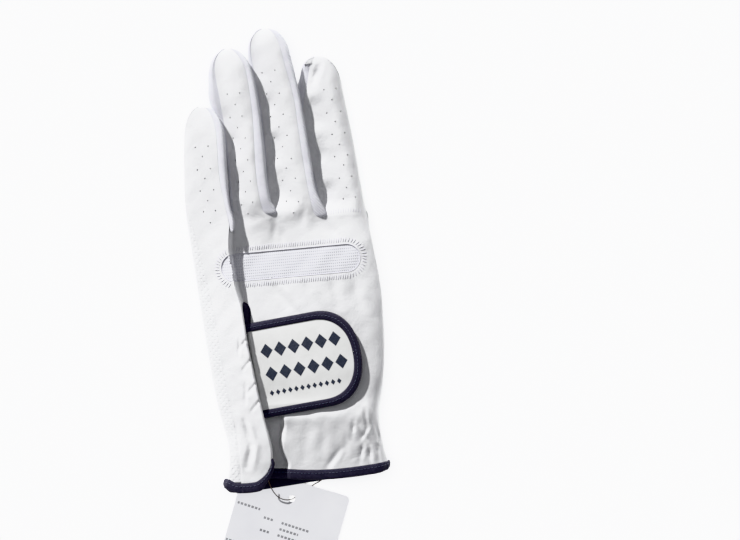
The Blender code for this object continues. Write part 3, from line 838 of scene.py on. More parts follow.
# Columns past the flap's crest, as (right, up): rolled under where the slit is open (millimetres), and
# down the pleat's side above it (up in shares of the drop)
FREE_CURL = (
    (-0.35, -0.22), (-0.02, -0.65), (0.05, -1.15), (-0.25, -1.7), (-1.1, -2.5), (-2.4, -3.5), (-4, -4.6),
)
CLIFF_CURL = (
    (-0.3, -0.06), (0.15, -0.16), (0.38, -0.34), (0.5, -0.52), (0.62, -0.72), (0.9, -0.93), (1.9, -1.16),
)


def curl_columns(x, y, z):
    edge, y, top = x[:, -1:] + 0.9, y[:, -1:], z[:, -1:]
    drop = np.maximum(top - ground(edge + 1.2, y), 1.0)
    share = ramp(y, 7, 12)
    columns = []
    for free, cliff in zip(FREE_CURL, CLIFF_CURL):
        across, up = mix(free[0], cliff[0], share), mix(free[1], cliff[1] * drop, share)
        columns.append(np.concatenate([edge + across, y, top + up], 1))
    return np.stack(columns, 1)


# Lines of finger holes: top, bottom and the spread of each line's outer columns
HOLE_LINES = (
    ((-38, 92), (-36.6, 48), 3.3), ((-19.5, 117), (-17.2, 50), 3.2), ((-0.8, 127), (6.4, 50), 3.3),
    ((29.6, 115), (34.4, 58), 3.3),
)
HOLE_PITCH = 5.6


def perforations():
    """(x, y) of the finger holes: three staggered columns down each finger."""
    places = []
    for (x0, y0), (x1, y1), across in HOLE_LINES:
        for k in range(int((y0 - y1) / HOLE_PITCH) + 1):
            share = k * HOLE_PITCH / (y0 - y1)
            x, y = mix(x0, x1, share), mix(y0, y1, share)
            places.extend([(x, y)] if k % 2 else [(x - across, y), (x + across, y)])
    return places


def punch(obj, places, radius, reach):
    """Opens small round holes in a fine grid at the vertices nearest the places, on its upper side."""
    with editing(obj) as bm:
        bm.verts.ensure_lookup_table()
        tree = kdtree.KDTree(len(bm.verts))
        for vert in bm.verts:
            tree.insert((vert.co.x, vert.co.y, 0), vert.index)
        tree.balance()
        doomed, rims = [], []
        for x, y in places:
            _, index, distance = tree.find((x * MM, y * MM, 0))
            vert = bm.verts[index]
            ring = {v for f in vert.link_faces for v in f.verts} - {vert}
            on_edge = any(v.is_boundary for v in (vert, *ring))
            if distance > reach * MM or len(vert.link_faces) != 4 or on_edge:
                continue
            for other in ring:
                away = other.co - vert.co
                rims.append((other, vert.co + away * (radius * MM / away.xy.length)))
            doomed.append(vert)
        for other, place in rims:
            other.co = place
        bmesh.ops.delete(bm, geom=doomed, context="VERTS")


def stadium_distance(x, y):
    """Distance outside the knuckle strip's outline, negative inside."""
    dx = np.maximum(np.abs(x - KNUCKLE_CENTRE[0]) - KNUCKLE_STRAIGHT / 2, 0)
    return np.hypot(dx, y - KNUCKLE_CENTRE[1]) - KNUCKLE_RADIUS


def faces_where(bm, test):
    """The faces whose distance outside the knuckle strip passes a test."""
    return [f for f in bm.faces if test(stadium_distance(*(f.calc_center_median().xy / MM)))]


def open_knuckle(obj):
    """Cuts the knuckle strip's opening: edge vertices go onto its outline and the inside goes."""
    half = KNUCKLE_STRAIGHT / 2
    with editing(obj) as bm:
        for vert in bm.verts:
            x, y = vert.co.x / MM, vert.co.y / MM
            if abs(stadium_distance(x, y)) < 0.55:
                cx = KNUCKLE_CENTRE[0] + max(-half, min(half, x - KNUCKLE_CENTRE[0]))
                out = Vector((x - cx, y - KNUCKLE_CENTRE[1])).normalized() * KNUCKLE_RADIUS
                vert.co.x, vert.co.y = (cx + out.x) * MM, (KNUCKLE_CENTRE[1] + out.y) * MM
        bmesh.ops.delete(bm, geom=faces_where(bm, lambda away: away < 0), context="FACES")


def take_knuckle(back):
    """The knit of the knuckle strip: the back's own surface there, set a little lower."""
    cloth = add_object("knuckle_knit", back.data.copy())
    cloth.data.name = "knuckle_knit"
    with editing(cloth) as bm:
        bmesh.ops.delete(bm, geom=faces_where(bm, lambda away: away > 0.9), context="FACES")
        bm.normal_update()
        for vert in bm.verts:
            away = min(float(stadium_distance(*(vert.co.xy / MM))), 0)
            vert.co -= vert.normal * (0.5 - 0.3 * (1 - math.exp(away / 1.6))) * MM
    thicken(cloth, 0.5)
    return cloth


def make_back():
    sheets = Sheets()
    for strip in range(4):
        x, y, u = strip_grid(strip)
        z = back_top(strip, u, x, y)
        if strip == 1:
            z = z - slit_dip(x, y)
        points = stack(x, y, z)
        if strip == 0:
            points = np.concatenate([points, curl_columns(x, y, z)], 1)
        sheets.grid(points)
        x, y, u = finger_grid(strip)
        sheets.grid(stack(x, y, back_top(strip, u, x, y)))
    back = sheets.build("back_leather")
    strip_cloth = take_knuckle(back)
    open_knuckle(back)
    punch(back, perforations(), 0.4, 0.8)
    thicken(back, LEATHER)
    back.data.set_sharp_from_angle(angle=math.radians(50))
    finish_piece(back, "root", LEATHER_LOOK, "white_leather", "back_panel")
    finish_piece(strip_cloth, "root", MESH_LOOK, "white_mesh", "knuckle_mesh")


make_back()


# --- Palm, fourchettes and thumb ------------------------------------------------------------------


# How far in from the outline the palm starts to turn up, and the angles of that turn
EDGE_ROUND = 4
QUARTER = np.linspace(0, math.pi / 2, 10)[None, :]

THUMB_PIVOT = (27, -10)
THUMB_REACH = 57
THUMB_HALF_WIDTH = 12
THUMB_TIP_ROUND = 13
THUMB_HEIGHT = 6.4


def rows_to_tip(count):
    """0 to 1, evenly at first and closer and closer at a rounded tip."""
    even = np.linspace(0, 1, count)[:, None]
    return 1 - (1 - even) * (1 - 0.97 * ramp(even, 0.93, 1.0))


def palm_edges(strip, y):
    left, _, _, right = finger_edges(strip, y)
    narrow, _ = tip_shape(strip, y)
    inset = 1.4 * ramp(narrow, 0, 0.5)
    return left + inset, right - inset


def palm_strip(sheets, strip):
    """A strip of the palm, its finger's underside, and the seam allowance folded inside the tip."""
    tip = FINGERS[strip].tip
    u = np.linspace(0, 1, 26)[None, :]
    top = base_line(strip, u)
    y = mix(CUFF_Y, top, np.linspace(0, 1, 120)[:, None])
    left = boundary(strip, y) if strip else little_side(y) + EDGE_ROUND
    right = boundary(strip + 1, y) if strip < 3 else index_side(y) - EDGE_ROUND
    x = mix(left, right, u)
    under = under_height(x, y)
    sheets.grid(stack(x, y, under - wrinkles(x, y) * 0.25 * ramp(under, 0.5, 3)), flip=True)
    y = mix(top, tip - 0.05, rows_of_finger(80))
    left, right = palm_edges(strip, y)
    if strip == 0:
        left = mix(little_side(y) + EDGE_ROUND, left + 1.2, ramp(y, 48, 60))
    else:
        left = mix(CROTCH_X[strip - 1], left, ramp(y, BASE_Y[strip], BASE_Y[strip] + 4))
    if strip == 3:
        right = mix(index_side(y) - EDGE_ROUND, right - 1.2, ramp(y, 52, 64))
    else:
        right = mix(CROTCH_X[strip], right, ramp(y, BASE_Y[strip + 1], BASE_Y[strip + 1] + 4))
    x = mix(left, right, u)
    sheets.grid(stack(x, y, palm_height(strip, x, y) + 0.5 * (2 * u - 1) ** 6), flip=True)
    y = tip - 3.5 + 3.35 * np.sin(np.linspace(0, 1, 14)[:, None] * math.pi / 2)
    narrow, _ = tip_shape(strip, y)
    left, _, _, right = finger_edges(strip, y)
    sheets.grid(stack(mix(left + 0.7 * narrow, right - 0.7 * narrow, u), y, 4.75))


def palm_height(strip, x, y):
    """Height of the palm's outside, which rises to meet the back at a fingertip."""
    _, tall = tip_shape(strip, y)
    return under_height(x, y) + 4.2 * (1 - tall)


def wrap_little_side(sheets):
    """The palm leather round the little finger's side and up over the back to the wrap seam."""
    y = CUFF_Y + (FINGERS[0].tip + 79.85) * rows_to_tip(260)
    narrow, tall = tip_shape(0, y)
    left, left_seam, _, _ = finger_edges(0, y)
    seam = mix(wrap_seam(y), left_seam, ramp(y, 48, 62))
    low = palm_height(0, left + EDGE_ROUND, y)
    side = close_tip(SIDE_HEIGHT + cuff_lift(y), tall)
    start = mix(left + EDGE_ROUND, palm_edges(0, y)[0] + 1.2, ramp(y, 48, 60))
    x_top = mix(left, seam + 0.9 * narrow, np.linspace(0, 1, 16)[None, 1:] ** 2)
    z_top = flap_height(x_top, y, mix(flap_edge(y), FINGERS[0].seam(y), ramp(y, 46, 50)))
    z_top = close_tip(z_top, tall) + wrinkles(x_top, y) + gathers(x_top, y)
    z_top = z_top + 0.06 - 0.35 * ramp(x_top, seam, seam + 0.5)
    x = np.concatenate([mix(start, left, np.sin(QUARTER)), x_top], 1)
    z = np.concatenate([mix(low, side, 1 - np.cos(QUARTER)), z_top], 1)
    sheets.grid(stack(x, y, z))


def wrap_index_side(sheets):
    """The palm leather up the index finger's side, to where the back leather comes over the edge."""
    y = CUFF_Y + 2 + (FINGERS[3].tip + 77.85) * rows_to_tip(260)
    right = finger_edges(3, y)[3]
    top = mix(ground(right, y), finger_top(3, right, y), ramp(y, 35, 52))
    start = mix(right - EDGE_ROUND, palm_edges(3, y)[1] - 1.2, ramp(y, 52, 64))
    x = mix(start, right - 0.15, np.sin(QUARTER))
    z = mix(palm_height(3, right, y), top + 0.3, 1 - np.cos(QUARTER))
    sheets.grid(stack(x, y, z), flip=True)


def cut_thumb_hole(obj, radius, side):
    """Takes away the leather round the thumb's pivot; side tells the part of it that lies there."""
    with editing(obj) as bm:
        hole = [v for v in bm.verts if math.dist(v.co.xy / MM, THUMB_PIVOT) < radius and side(v.co.z / MM)]
        bmesh.ops.delete(bm, geom=hole, context="VERTS")


def make_palm():
    sheets = Sheets()
    for strip in range(4):
        palm_strip(sheets, strip)
    wrap_little_side(sheets)
    wrap_index_side(sheets)
    palm = sheets.build("palm_leather")
    cut_thumb_hole(palm, 9.5, lambda z: z < 8)
    thicken(palm, LEATHER)
    finish_piece(palm, "root", PALM_LOOK, "white_leather", "palm_panel")


make_palm()


def catmull(points, count):
    """A smooth curve through points, each an array over the rows."""
    points = [2 * points[0] - points[1], *points, 2 * points[-1] - points[-2]]
    result = []
    spans = len(points) - 3
    for k in range(count):
        t = k / (count - 1) * spans
        i = min(int(t), spans - 1)
        t -= i
        p0, p1, p2, p3 = points[i : i + 4]
        result.append(0.5 * (
            2 * p1 + (p2 - p0) * t + (2 * p0 - 5 * p1 + 4 * p2 - p3) * t**2
            + (3 * p1 - p0 - 3 * p2 + p3) * t**3
        ))
    return np.stack(result, 1)


def make_fourchette(number):
    """The knit strip down the right side of one finger, round the crotch and up the left of the next."""
    sheets = Sheets()
    crotch_x, crotch_y = CROTCH_X[number], BASE_Y[number + 1]
    finger, after = FINGERS[number], FINGERS[number + 1]
    rows = np.sin(np.linspace(0, math.pi / 2, 180)) ** 0.95
    y = crotch_y - (0.6 if number == 0 else 0.2) + (finger.tip - 0.12 - crotch_y) * rows
    _, _, seam, right = finger_edges(number, y)
    narrow, tall = tip_shape(number, y)
    tuck, narrow = 0.3 + 1.5 * ramp(narrow, 0, 0.5), 0.04 + 0.96 * narrow
    opened = ramp(y, 47.4, 52) if number == 0 else ramp(y, crotch_y - 0.2, crotch_y + 1.3)
    top = back_top(number, 1.0, seam, y)
    wide = np.maximum(right - seam, 0.05)
    bulge = 0.9 * opened * tall
    under = mix(LOW_SIDE + 0.2, 0.9, ramp(y, finger.tip - 25, finger.tip)) * opened + 1.0
    under = np.minimum(under, mix(TIP_HEIGHT, top, 0.3))
    lip = top - 0.5 * opened * tall
    rib = 0.12 * np.sin(y * 3.3) * opened
    points = (
        (seam - 0.4 * narrow, top - 0.55), (seam + 0.15 * narrow, top - 0.1),
        (seam + 0.3 * wide, top + bulge * 0.8), (seam + 0.76 * wide, top + bulge * 1.2),
        (right - 0.15 * narrow + rib, lip + rib), (right - 0.1 * narrow, mix(under, lip, 0.45)),
        (right - 0.6 * tuck, under), (right - tuck, 0.7 + 3.7 * (1 - tall)),
    )
    sheets.grid(catmull([stack(x, y, z) for x, z in points], 22))
    # the next finger's left side
    y = crotch_y + 0.3 + (after.tip - 0.12 - crotch_y - 0.3) * rows
    left, seam, _, _ = finger_edges(number + 1, y)
    seam = mix(crotch_x, seam, ramp(y, crotch_y, crotch_y + 3))
    narrow, tall = tip_shape(number + 1, y)
    tuck, narrow = 0.3 + 1.5 * ramp(narrow, 0, 0.5), 0.04 + 0.96 * narrow
    top = back_top(number + 1, 0, seam, y)
    free = ramp(y, finger.tip - 6, finger.tip + 4) * tall
    wide = np.maximum(seam - left, 0.05)
    points = (
        (seam + 0.7 * narrow, top - 0.7), (seam + 0.15 * narrow, top - 0.26), (seam - 0.2 * wide, top - 0.02),
        (seam - 0.55 * wide, top + 0.1 * free - 0.04), (left + 0.1 * narrow, top - mix(0.6, 1.3, free)),
        (left + 0.1 * narrow, mix(mix(TIP_HEIGHT, top, 0.4), 2.6, tall) - 0.4),
        (left + tuck, 0.7 + 3.7 * (1 - tall)),
    )
    sheets.grid(catmull([stack(x, y, z) for x, z in points], 16), flip=True)
    # the turn at the crotch
    a = np.linspace(0, math.pi, 16)[:, None]
    depth = np.linspace(0, 1, 8)[None, :]
    y = crotch_y + 1.0 - (1.3 + 0.5 * np.sin(depth * math.pi)) * np.sin(a)
    sheets.grid(stack(crotch_x + 0.4 * np.cos(a), y, mix(VALLEYS[number] - 0.3, 0.8, depth)))
    name = f"fourchette_{finger.name}_{after.name}"
    piece = sheets.build(name + "_knit")
    thicken(piece, KNIT)
    finish_piece(piece, "root", KNIT_LOOK, "white_knit", name)


for gap in range(3):
    make_fourchette(gap)


def make_thumb():
    """The thumb folded flat under the palm: a soft tube with a seam down each side."""
    low, high = -THUMB_HALF_WIDTH + 0.4, THUMB_REACH - 0.4
    along = mix(low, high, (1 - np.cos(math.pi * np.linspace(0, 1, 110)[:, None])) / 2)
    t = np.clip((along - THUMB_REACH) / THUMB_TIP_ROUND + 1, 0, 1)
    body = (THUMB_HALF_WIDTH - 1.5 * along / THUMB_REACH) * (1 - t**2.4) ** (1 / 2.4)
    heel = np.sqrt(np.maximum(THUMB_HALF_WIDTH**2 - np.minimum(along, 0) ** 2, 0.01))
    wide = np.where(along < 0, heel, body)
    a = np.linspace(0, 2 * math.pi, 73)[None, :]
    c, s = np.cos(a), np.sin(a)
    tall = THUMB_HEIGHT / 2 * np.minimum(1, (wide / THUMB_HALF_WIDTH) ** 0.4)
    across = -wide * np.sign(c) * np.abs(c) ** 0.7
    groove = 0.35 * np.exp(-((np.abs(s) / 0.16) ** 2)) * np.sign(c)
    soft = 0.18 * np.sin(along * 0.5 + 2 * c) * np.sin(along * 0.21) * s
    z = THUMB_HEIGHT / 2 + tall * np.sign(s) * np.abs(s) ** 0.75 - np.abs(soft)
    x = THUMB_PIVOT[0] + across + groove
    points = stack(x, THUMB_PIVOT[1] + along, np.clip(z, 0.02, THUMB_HEIGHT))
    thumb = Sheets().grid(points).build("thumb_leather")
    with editing(thumb) as bm:
        bmesh.ops.recalc_face_normals(bm, faces=bm.faces)
    cut_thumb_hole(thumb, 9.3, lambda z: z > 5)
    thicken(thumb, LEATHER * 0.9)
    finish_piece(thumb, "thumb", PALM_LOOK, "white_leather", "thumb_panel")


make_thumb()


# --- Knuckle strip -----------------------------------------------------------------------------------


def stadium_point(distance, out):
    """(x, y) at a distance clockwise along the knuckle strip's outline from its top left, moved out."""
    half_turns, distance = divmod(distance, STADIUM_LENGTH / 2)
    if distance < KNUCKLE_STRAIGHT:
        x, y = distance - KNUCKLE_STRAIGHT / 2, KNUCKLE_RADIUS + out
    else:
        a = math.pi / 2 - (distance - KNUCKLE_STRAIGHT) / KNUCKLE_RADIUS
        reach = KNUCKLE_RADIUS + out
        x, y = KNUCKLE_STRAIGHT / 2 + reach * math.cos(a), reach * math.sin(a)
    side = -1 if half_turns % 2 else 1
    return KNUCKLE_CENTRE[0] + side * x, KNUCKLE_CENTRE[1] + side * y


STADIUM_LENGTH = 2 * (KNUCKLE_STRAIGHT + math.pi * KNUCKLE_RADIUS)


def surface_at(x, y):
    """Height of the back at a place in the hand."""
    result = ground(x, y)
    for strip in (1, 2, 3):
        left, right = boundary(strip, y), boundary(strip + 1, y)
        if (x >= left or strip == 1) and x <= right:
            result = bare_top(strip, np.clip((x - left) / (right - left), 0, 1), x, y)
    edge = flap_edge(y)
    result = mix(flap_height(x, y), result, ramp(x, edge - 0.3, edge + 1.1))
    return float(result + wrinkles(x, y) + gathers(x, y))


def make_knuckle_edge():
    """The rolled rim round the knuckle strip, in two runs that stop at the flap's edge."""
    rim = Sheets()
    runs = [[]]
    for k in range(480):
        x, y = stadium_point(k / 479 * STADIUM_LENGTH, 0.1)
        if abs(x - flap_edge(y)) < 1.6:
            runs.append([])
        else:
            runs[-1].append((x, y, surface_at(x, y) - 0.1))
    for path in runs:
        if len(path) > 3:
            tube(rim, path, 0.26, 8)
    finish_piece(rim.build("knuckle_edge"), "root", THREAD_LOOK, "thread")


make_knuckle_edge()


def add_stitch(sheets, start, end, radius, rise):
    """One stitch: a short thread that dips into the leather at both ends."""
    start, end = np.array(start, float), np.array(end, float)
    share = np.linspace(0, 1, 7)[:, None]
    path = start + (end - start) * share
    path[:, 2:] += rise * np.sin(share * math.pi) ** 0.6 - radius
    tube(sheets, path, radius, 6)


def make_knuckle_stitches():
    sheets = Sheets()
    count = int(STADIUM_LENGTH / 1.15)
    for k in range(count):
        at = k * STADIUM_LENGTH / count
        inner = stadium_point(at + RANDOM.uniform(-0.12, 0.12), 0.9)
        outer = stadium_point(at + 0.5 + RANDOM.uniform(-0.12, 0.12), 3.7 + RANDOM.uniform(-0.2, 0.2))
        if not any(-2 < x - flap_edge(y) < 1.8 for x, y in (inner, outer)):
            add_stitch(sheets, *((x, y, surface_at(x, y)) for x, y in (inner, outer)), 0.2, 0.34)
    finish_piece(sheets.build("knuckle_stitches", weld=0.0005), "root", THREAD_LOOK, "thread")


make_knuckle_stitches()


def make_base_stitches():
    """A row of small stitches across the index finger's base."""
    sheets = Sheets()
    for k in range(13):
        x, y = 24.5 + 1.25 * k, 53.2 - 0.02 * (k - 5) ** 2
        places = (x, y - 1.1), (x + 0.3, y + 1.1)
        ends = [(a, b, float(back_top(3, (a - 20.5) / 22, a, b))) for a, b in places]
        add_stitch(sheets, *ends, 0.16, 0.2)
    finish_piece(sheets.build("base_stitches", weld=0.0005), "root", THREAD_LOOK, "thread")


make_base_stitches()

# --- Tab ------------------------------------------------------------------------------------------------

TAB_ROOT = (-21, -24.1)
TAB_TILT = math.radians(5.5)
TAB_LENGTH = 54.7
TAB_HALF_WIDTH = 24.4
TAB_NOSE = 21
TAB_NOSE_POWER = 2.3
TAB_BINDING_WIDTH = 4.2
TAB_LIFT = 2.9
TAB_DOME = 0.5
# Where along the tab a bend would start and stop; nothing in this script bends the tab
TAB_BEND = (-0.5, 5)


def tab_place(along, across):
    c, s = math.cos(TAB_TILT), math.sin(TAB_TILT)
    return TAB_ROOT[0] + along * c - across * s, TAB_ROOT[1] + along * s + across * c


def tab_base(x, y):
    """Height of the smooth ground under the tab."""
    return ground(x, np.clip(y, -42, 0), rolled=False) + 0.05 * np.minimum(y + 42, 0)


def nose(share, inset):
    """(along, half width) of the tab's D outline as share goes from 0 at its root to 1 at its end."""
    half, reach = TAB_HALF_WIDTH - inset, TAB_NOSE - inset * 0.8
    along = (TAB_LENGTH - inset) * share
    t = np.clip((along - TAB_LENGTH + inset) / reach + 1, 0, 1)
    return along, half * (1 - t**TAB_NOSE_POWER) ** (1 / TAB_NOSE_POWER)


def tab_sheet(name, inset, start, lift, look, slot, node):
    """A layer of the tab: its D outline drawn in by inset, from a share of its length to its end."""
    share = np.sin(np.linspace(start, 1, 90) * math.pi / 2)[:, None]
    along, half = nose(np.minimum(share, 0.9999), inset)
    across = half * np.linspace(-1, 1, 80)[None, :]
    points = stack(*tab_place(along, across), tab_top(along, across) + lift)
    piece = Sheets().grid(points.transpose(1, 0, 2)).build(name)
    thicken(piece, 0.9)
    finish_piece(piece, "tab", look, slot, node)


def tab_outline(inset, steps=140):
    """(along, across) round the tab's D from the top of its root to the bottom."""
    half, reach = TAB_HALF_WIDTH - inset, TAB_NOSE - inset * 0.8
    shoulder = TAB_LENGTH - inset - reach
    straight = np.linspace(-2, shoulder, 60)[:-1]
    a = np.linspace(math.pi / 2, -math.pi / 2, steps)
    along = shoulder + reach * np.abs(np.cos(a)) ** (2 / TAB_NOSE_POWER)
    across = half * np.abs(np.sin(a)) ** (2 / TAB_NOSE_POWER) * np.sign(a)
    along = np.concatenate([straight, along, straight[::-1]])
    return along, np.concatenate([0 * straight + half, across, 0 * straight - half])


def tab_top(along, across):
    x, y = tab_place(along, across)
    return tab_base(x, y) + TAB_LIFT + TAB_DOME * (1 - (across / TAB_HALF_WIDTH) ** 2)


def close_ends(obj):
    """Fills the two open ends of a swept tape."""
    with editing(obj) as bm:
        bmesh.ops.holes_fill(bm, edges=[e for e in bm.edges if e.is_boundary])
        bmesh.ops.recalc_face_normals(bm, faces=bm.faces)
    obj.data.shade_smooth()


# The folded tape over the tab's edge, as (inset, rise): over the top and back under it
TAB_TAPE_PROFILE = (
    (4.2, -0.1), (4.15, 0.3), (3.5, 0.62), (2.4, 0.72), (1.2, 0.62), (0.4, 0.25), (0, -0.5), (0.25, -1.2),
    (1.2, -1.65), (2.6, -1.75), (4.1, -1.75), (4.2, -1.0), (4.2, -0.1),
)


def make_tab():
    tab_sheet("tab_hooks", TAB_BINDING_WIDTH + 0.4, 0.06, -1.1, HOOK_LOOK, "hook_tape", "tab_hook_pad")
    tab_sheet("tab_panel", TAB_BINDING_WIDTH - 0.7, 0, 0, TAB_LOOK, "tab_white", "tab_face")
    columns = []
    for inset, rise in TAB_TAPE_PROFILE:
        outline = tab_outline(inset)
        columns.append(stack(*tab_place(*outline), tab_top(*outline) + rise))
    binding = Sheets().grid(np.stack(columns, 1)).build("tab_edge_tape")
    close_ends(binding)
    finish_piece(binding, "tab", NAVY_LOOK, "navy_tape", "tab_binding")
    row = Sheets()
    outline = tab_outline(2.2, 280)
    seam = stack(*tab_place(*outline), tab_top(*outline) + 0.72)
    lengths = lengths_along(np.stack(outline, -1))
    for at in np.arange(2.0, lengths[-1] - 2, 1.75):
        ends = [[np.interp(s, lengths, column) for column in seam.T] for s in (at, at + 1.25)]
        add_stitch(row, *ends, 0.17, 0.28)
    finish_piece(row.build("tab_stitches", weld=0.0005), "tab", NAVY_THREAD_LOOK, "thread")


make_tab()


# Rows of the tab's print: place across it, first diamond, count, pitch, width and height
PRINT_ROWS = ((9.0, 7.8, 6, 7.0, 3.0, 3.6), (-2.8, 8.2, 6, 7.2, 3.0, 3.6), (-12.4, 6.6, 12, 3.15, 1.1, 1.4))


def make_print():
    """Plain diamonds printed on the tab, in three rows."""
    sheets = Sheets()
    p, q = np.meshgrid(np.linspace(-1, 1, 9), np.linspace(-1, 1, 9), indexing="ij")
    for across, first, count, pitch, wide, tall in PRINT_ROWS:
        for k in range(count):
            place = first + k * pitch + (p + q) / 2 * wide * 1.05, across + (q - p) / 2 * tall * 1.05
            sheets.grid(stack(*tab_place(*place), tab_top(*place) + 0.05), flip=True)
    finish_piece(sheets.build("tab_print", weld=0.0005), "tab", PRINT_LOOK, "navy_tape")


make_print()


def make_patch():
    """Loop cloth sewn to the back under the tab."""
    share = np.sin(np.linspace(0.14, 1, 70) * math.pi / 2)[:, None]
    along, half = nose(np.minimum(share, 0.9999), 6)
    across = half * np.linspace(-1, 1, 60)[None, :]
    x, y = tab_place(along, across)
    z = np.maximum(tab_base(x, y), ground(x, y)) + 0.8 + 0.08 * np.sin(x * 3.1) * np.sin(y * 2.7)
    piece = Sheets().grid(stack(x, y, z).transpose(1, 0, 2)).build("loop_pile_patch")
    thicken(piece, 0.8)
    finish_piece(piece, "root", LOOP_LOOK, "loop_cloth", "loop_patch")


make_patch()

# --- Bindings and elastic ---------------------------------------------------------------------------


# The folded tape at the cuff, as (down, out)
TAPE_PROFILE = (
    (-0.1, 0.1), (0.3, 0.5), (1.4, 0.68), (3.0, 0.66), (4.3, 0.5), (4.95, 0.1), (5.1, -0.5),
    (4.8, -1.05), (3.4, -1.35), (1.2, -1.35), (-0.1, -1.2),
)


def cuff_stations():
    """Places round the cuff, with the tape's downward and outward directions and its narrowing there.

    They run from the slit to the right, back under the palm, and over the flap to its corner.
    """
    stations = []

    def add(x, y, z, down, out, narrow):
        stations.append((x, y, z, *down, *out, narrow))

    rights = np.linspace(-19, index_side(-77) - 1.0, 60)
    for x in rights:
        y = right_bottom(x)
        top = back_top(3 if x > 21 else 2 if x > 0 else 1, 0.5, x, y)
        add(x, y, top, (0, -1, 0), (0, 0, 1), 1 - 0.15 * ramp(x, rights[-1] - 4.5, rights[-1] + 0.5))
    edge = index_side(-78)
    low = under_height(edge, -78) - 0.1
    for a in np.radians(np.linspace(80, -80, 14)):
        c, s = math.cos(a), math.sin(a)
        x, y, z = edge - 1.4 + 1.4 * c, -75.9 + 0.4 * c, mix(low, top, (1 + s) / 2)
        add(x, y, z, (-0.08 * c, -1, 0), (c, 0, s), 0.85 - 0.12 * c**2)
    left = little_side(CUFF_Y)
    for x in np.linspace(edge - 2.2, left + 3, 80):
        y = -76.4 - 4.0 * ramp(-x, -40, 40)
        add(x, y, low, (0, -1, 0), (0, 0, -1), 1 - 0.15 * ramp(x, edge - 7, edge - 2))
    top = flap_height(left + 1.5, CUFF_Y)
    for a in np.radians(np.linspace(-105, -205, 22)):
        c, s = math.cos(a), math.sin(a)
        x, y, z = left + 1.3 + 2.6 * c, -80.2 + 2.6 * max(-c, 0) ** 2, mix(low, top, (1 + s) / 2)
        add(x, y, z, (0.35 * c, -1, 0), (c, 0, s), 1 - 0.3 * c**2)
    rise = np.linspace(left + 0.9, wrap_seam(-80.4) - 0.4, 10)
    corner = [(x, -80.4 + 2.4 * max(0, 1 - (x - left - 0.9) / 6) ** 2) for x in rise]
    y = flap_bottom(np.linspace(0, 1, 90))
    flap = np.stack([mix(wrap_seam(y), flap_edge(y) - 0.4, np.linspace(0, 1, 90)), y], -1)
    y = np.linspace(-70.8, -65, 12)
    tail = np.stack([flap_edge(y) - 0.5 - 0.3 * (y + 71), y], -1)
    line = np.concatenate([corner, flap, tail])
    taper_from = len(corner) + 55
    for k, ((x, y), (hx, hy)) in enumerate(zip(line, unit(np.gradient(line, axis=0)))):
        tucked = max(0, k - len(corner) - len(flap)) / len(tail)
        z = flap_height(x, y) + wrinkles(x, y) - 0.1 * k / len(line) - 2.2 * tucked
        tapered = max(0, k - taper_from) / (len(line) - taper_from)
        add(x, y, z, (hy, -hx, 0), (0, 0, 1), 1 - 0.93 * tapered)
    places, downs, outs, narrow = np.split(np.array(stations, float), (3, 6, 9), axis=1)
    return places, unit(downs), unit(outs), narrow


def make_cuff_binding():
    places, downs, outs, narrow = cuff_stations()
    columns = [places + downs * narrow * a + outs * b for a, b in (*TAPE_PROFILE, TAPE_PROFILE[0])]
    binding = Sheets().grid(np.stack(columns, 1)).build("cuff_tape")
    close_ends(binding)
    finish_piece(binding, "root", NAVY_LOOK, "navy_tape", "cuff_binding")
    row = Sheets()
    lengths = lengths_along(places)
    # each stitch ends nearer the tape where it lies on its underside
    share = np.linspace(0, 1, 6)[:, None]
    rise = 0.26 * np.sin(share * math.pi) ** 0.6 - 0.12
    for at in np.arange(1.5, lengths[-1] - 8, 1.8):
        ends = []
        for s in (at, at + 1.25):
            place, down, out, thin = (
                np.array([np.interp(s, lengths, column) for column in v.T])
                for v in (places, downs, outs, narrow)
            )
            ends.append(place + down * 1.7 * thin + out * (0.66 if out[2] > -0.5 else 0.46))
        tube(row, mix(ends[0], ends[1], share) + out * rise, 0.16, 6)
    finish_piece(row.build("cuff_stitches", weld=0.0005), "root", NAVY_THREAD_LOOK, "thread")


make_cuff_binding()


def make_slit_binding():
    """Folded tape up the right edge of the slit, under the flap, ending in a tongue at the slit's top."""
    y = np.linspace(-73, SLIT_TOP_Y, 120)[:, None]
    edge = flap_edge(y)
    shown = ramp(y, -6, 3)
    t = np.linspace(0, 1, 12)[None, :]
    x = mix(edge - 4.5, edge + tongue_width(y), t)
    fold = 2.6 * shown * np.sin(np.clip(t * 1.15, 0, 1) * math.pi) ** 0.7
    z = ground(x, y) + wrinkles(x, y) * 0.5 + 0.35 + fold - slit_dip(x, y) * (1 - shown)
    piece = Sheets().grid(stack(x, y, z)).build("slit_tape")
    thicken(piece, 0.7)
    finish_piece(piece, "root", NAVY_LOOK, "navy_tape", "slit_binding")


make_slit_binding()


def make_elastic(name, left, right):
    """Elastic tape sewn inside the wrist, behind the gathers."""
    x = np.linspace(left, right, 20)[None, :]
    y = np.linspace(-74, -45, 90)[:, None]
    above = flap_height(x, y) if left < 0 else ground(x, y)
    piece = Sheets().grid(stack(x, y, above - 2.6 + 0.3 * np.sin(y * 1.4))).build(name + "_tape")
    thicken(piece, 0.7)
    finish_piece(piece, "root", ELASTIC_LOOK, "elastic_tape", name)


make_elastic("wrist_elastic_left", -32, -26)
make_elastic("wrist_elastic_right", 24, 35)


# --- Light and floor -----------------------------------------------------------------------------------

SUN_TRAVEL = (0.467, -0.884)
SUN_HEIGHT = math.radians(26)


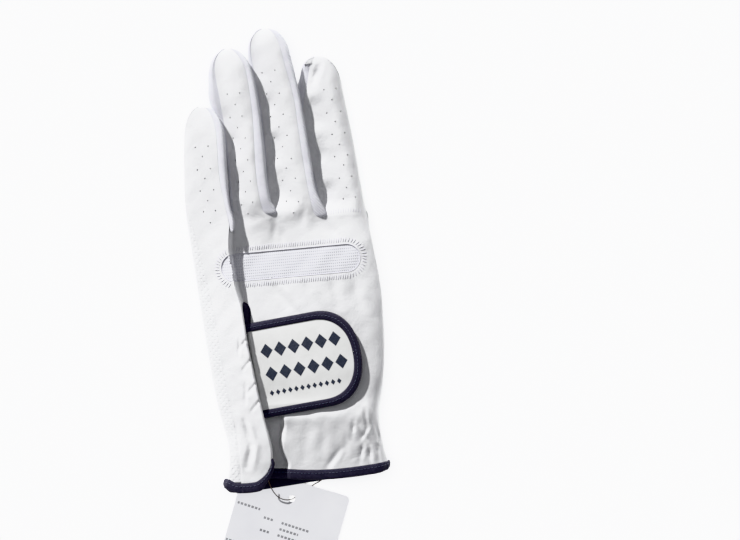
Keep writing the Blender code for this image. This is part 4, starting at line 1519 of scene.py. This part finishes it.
def make_sun(name, direction, strength, angle, receivers, blockers=None):
    """A sun that lights only its receivers, shaded only by its blockers where they are given."""
    data = bpy.data.lights.new(name, "SUN")
    data.energy = strength
    data.angle = math.radians(angle)
    lamp = add_object(name, data)
    lamp.rotation_euler = Vector(direction).to_track_quat("-Z", "Y").to_euler()
    lamp.light_linking.receiver_collection = group_of(name + "_receivers", receivers)
    if blockers:
        lamp.light_linking.blocker_collection = group_of(name + "_blockers", blockers)


def group_of(name, objects):
    group = bpy.data.collections.new(name)
    for obj in objects:
        group.objects.link(obj)
    return group


def make_floor():
    bm = bmesh.new()
    bmesh.ops.create_grid(bm, x_segments=1, y_segments=1, size=3)
    mesh = bpy.data.meshes.new("floor")
    bm.to_mesh(mesh)
    bm.free()
    floor = add_object("floor", mesh)
    floor.location.z = CAD_BOX[0][2] - 0.2 * MM
    mesh.materials.append(Look("pale_floor", (0.9, 0.9, 0.9), 0.9).material)
    return floor


def make_light(floor):
    world = bpy.data.worlds.new("world")
    bpy.context.scene.world = world
    world.use_nodes = True
    nodes, links = world.node_tree.nodes, world.node_tree.links
    sky, backdrop = nodes["Background"], nodes.new("ShaderNodeBackground")
    chooser, ray = nodes.new("ShaderNodeMixShader"), nodes.new("ShaderNodeLightPath")
    links.new(ray.outputs["Is Camera Ray"], chooser.inputs[0])
    backgrounds = ((sky, (0.95, 0.96, 1, 1), 0.28), (backdrop, (1, 1, 1, 1), 2.2))
    for k, (light, colour, strength) in enumerate(backgrounds):
        light.inputs["Color"].default_value = colour
        light.inputs["Strength"].default_value = strength
        links.new(light.outputs[0], chooser.inputs[k + 1])
    links.new(chooser.outputs[0], nodes["World Output"].inputs[0])
    key = (SUN_TRAVEL[0] * math.cos(SUN_HEIGHT), SUN_TRAVEL[1] * math.cos(SUN_HEIGHT), -math.sin(SUN_HEIGHT))
    pieces = [o for o in bpy.context.scene.objects if o.type == "MESH" and o not in (floor, TAG)]
    make_sun("key", key, 4.9, 2.5, pieces)
    make_sun("tag_key", key, 5.4, 2.5, [TAG], [TAG, bpy.data.objects["tag_string_thread"]])
    make_sun("floor_light", (0.1, -0.2, -1), 8.0, 70, [floor])
    bpy.context.scene.view_settings.view_transform = "Khronos PBR Neutral"


make_light(make_floor())
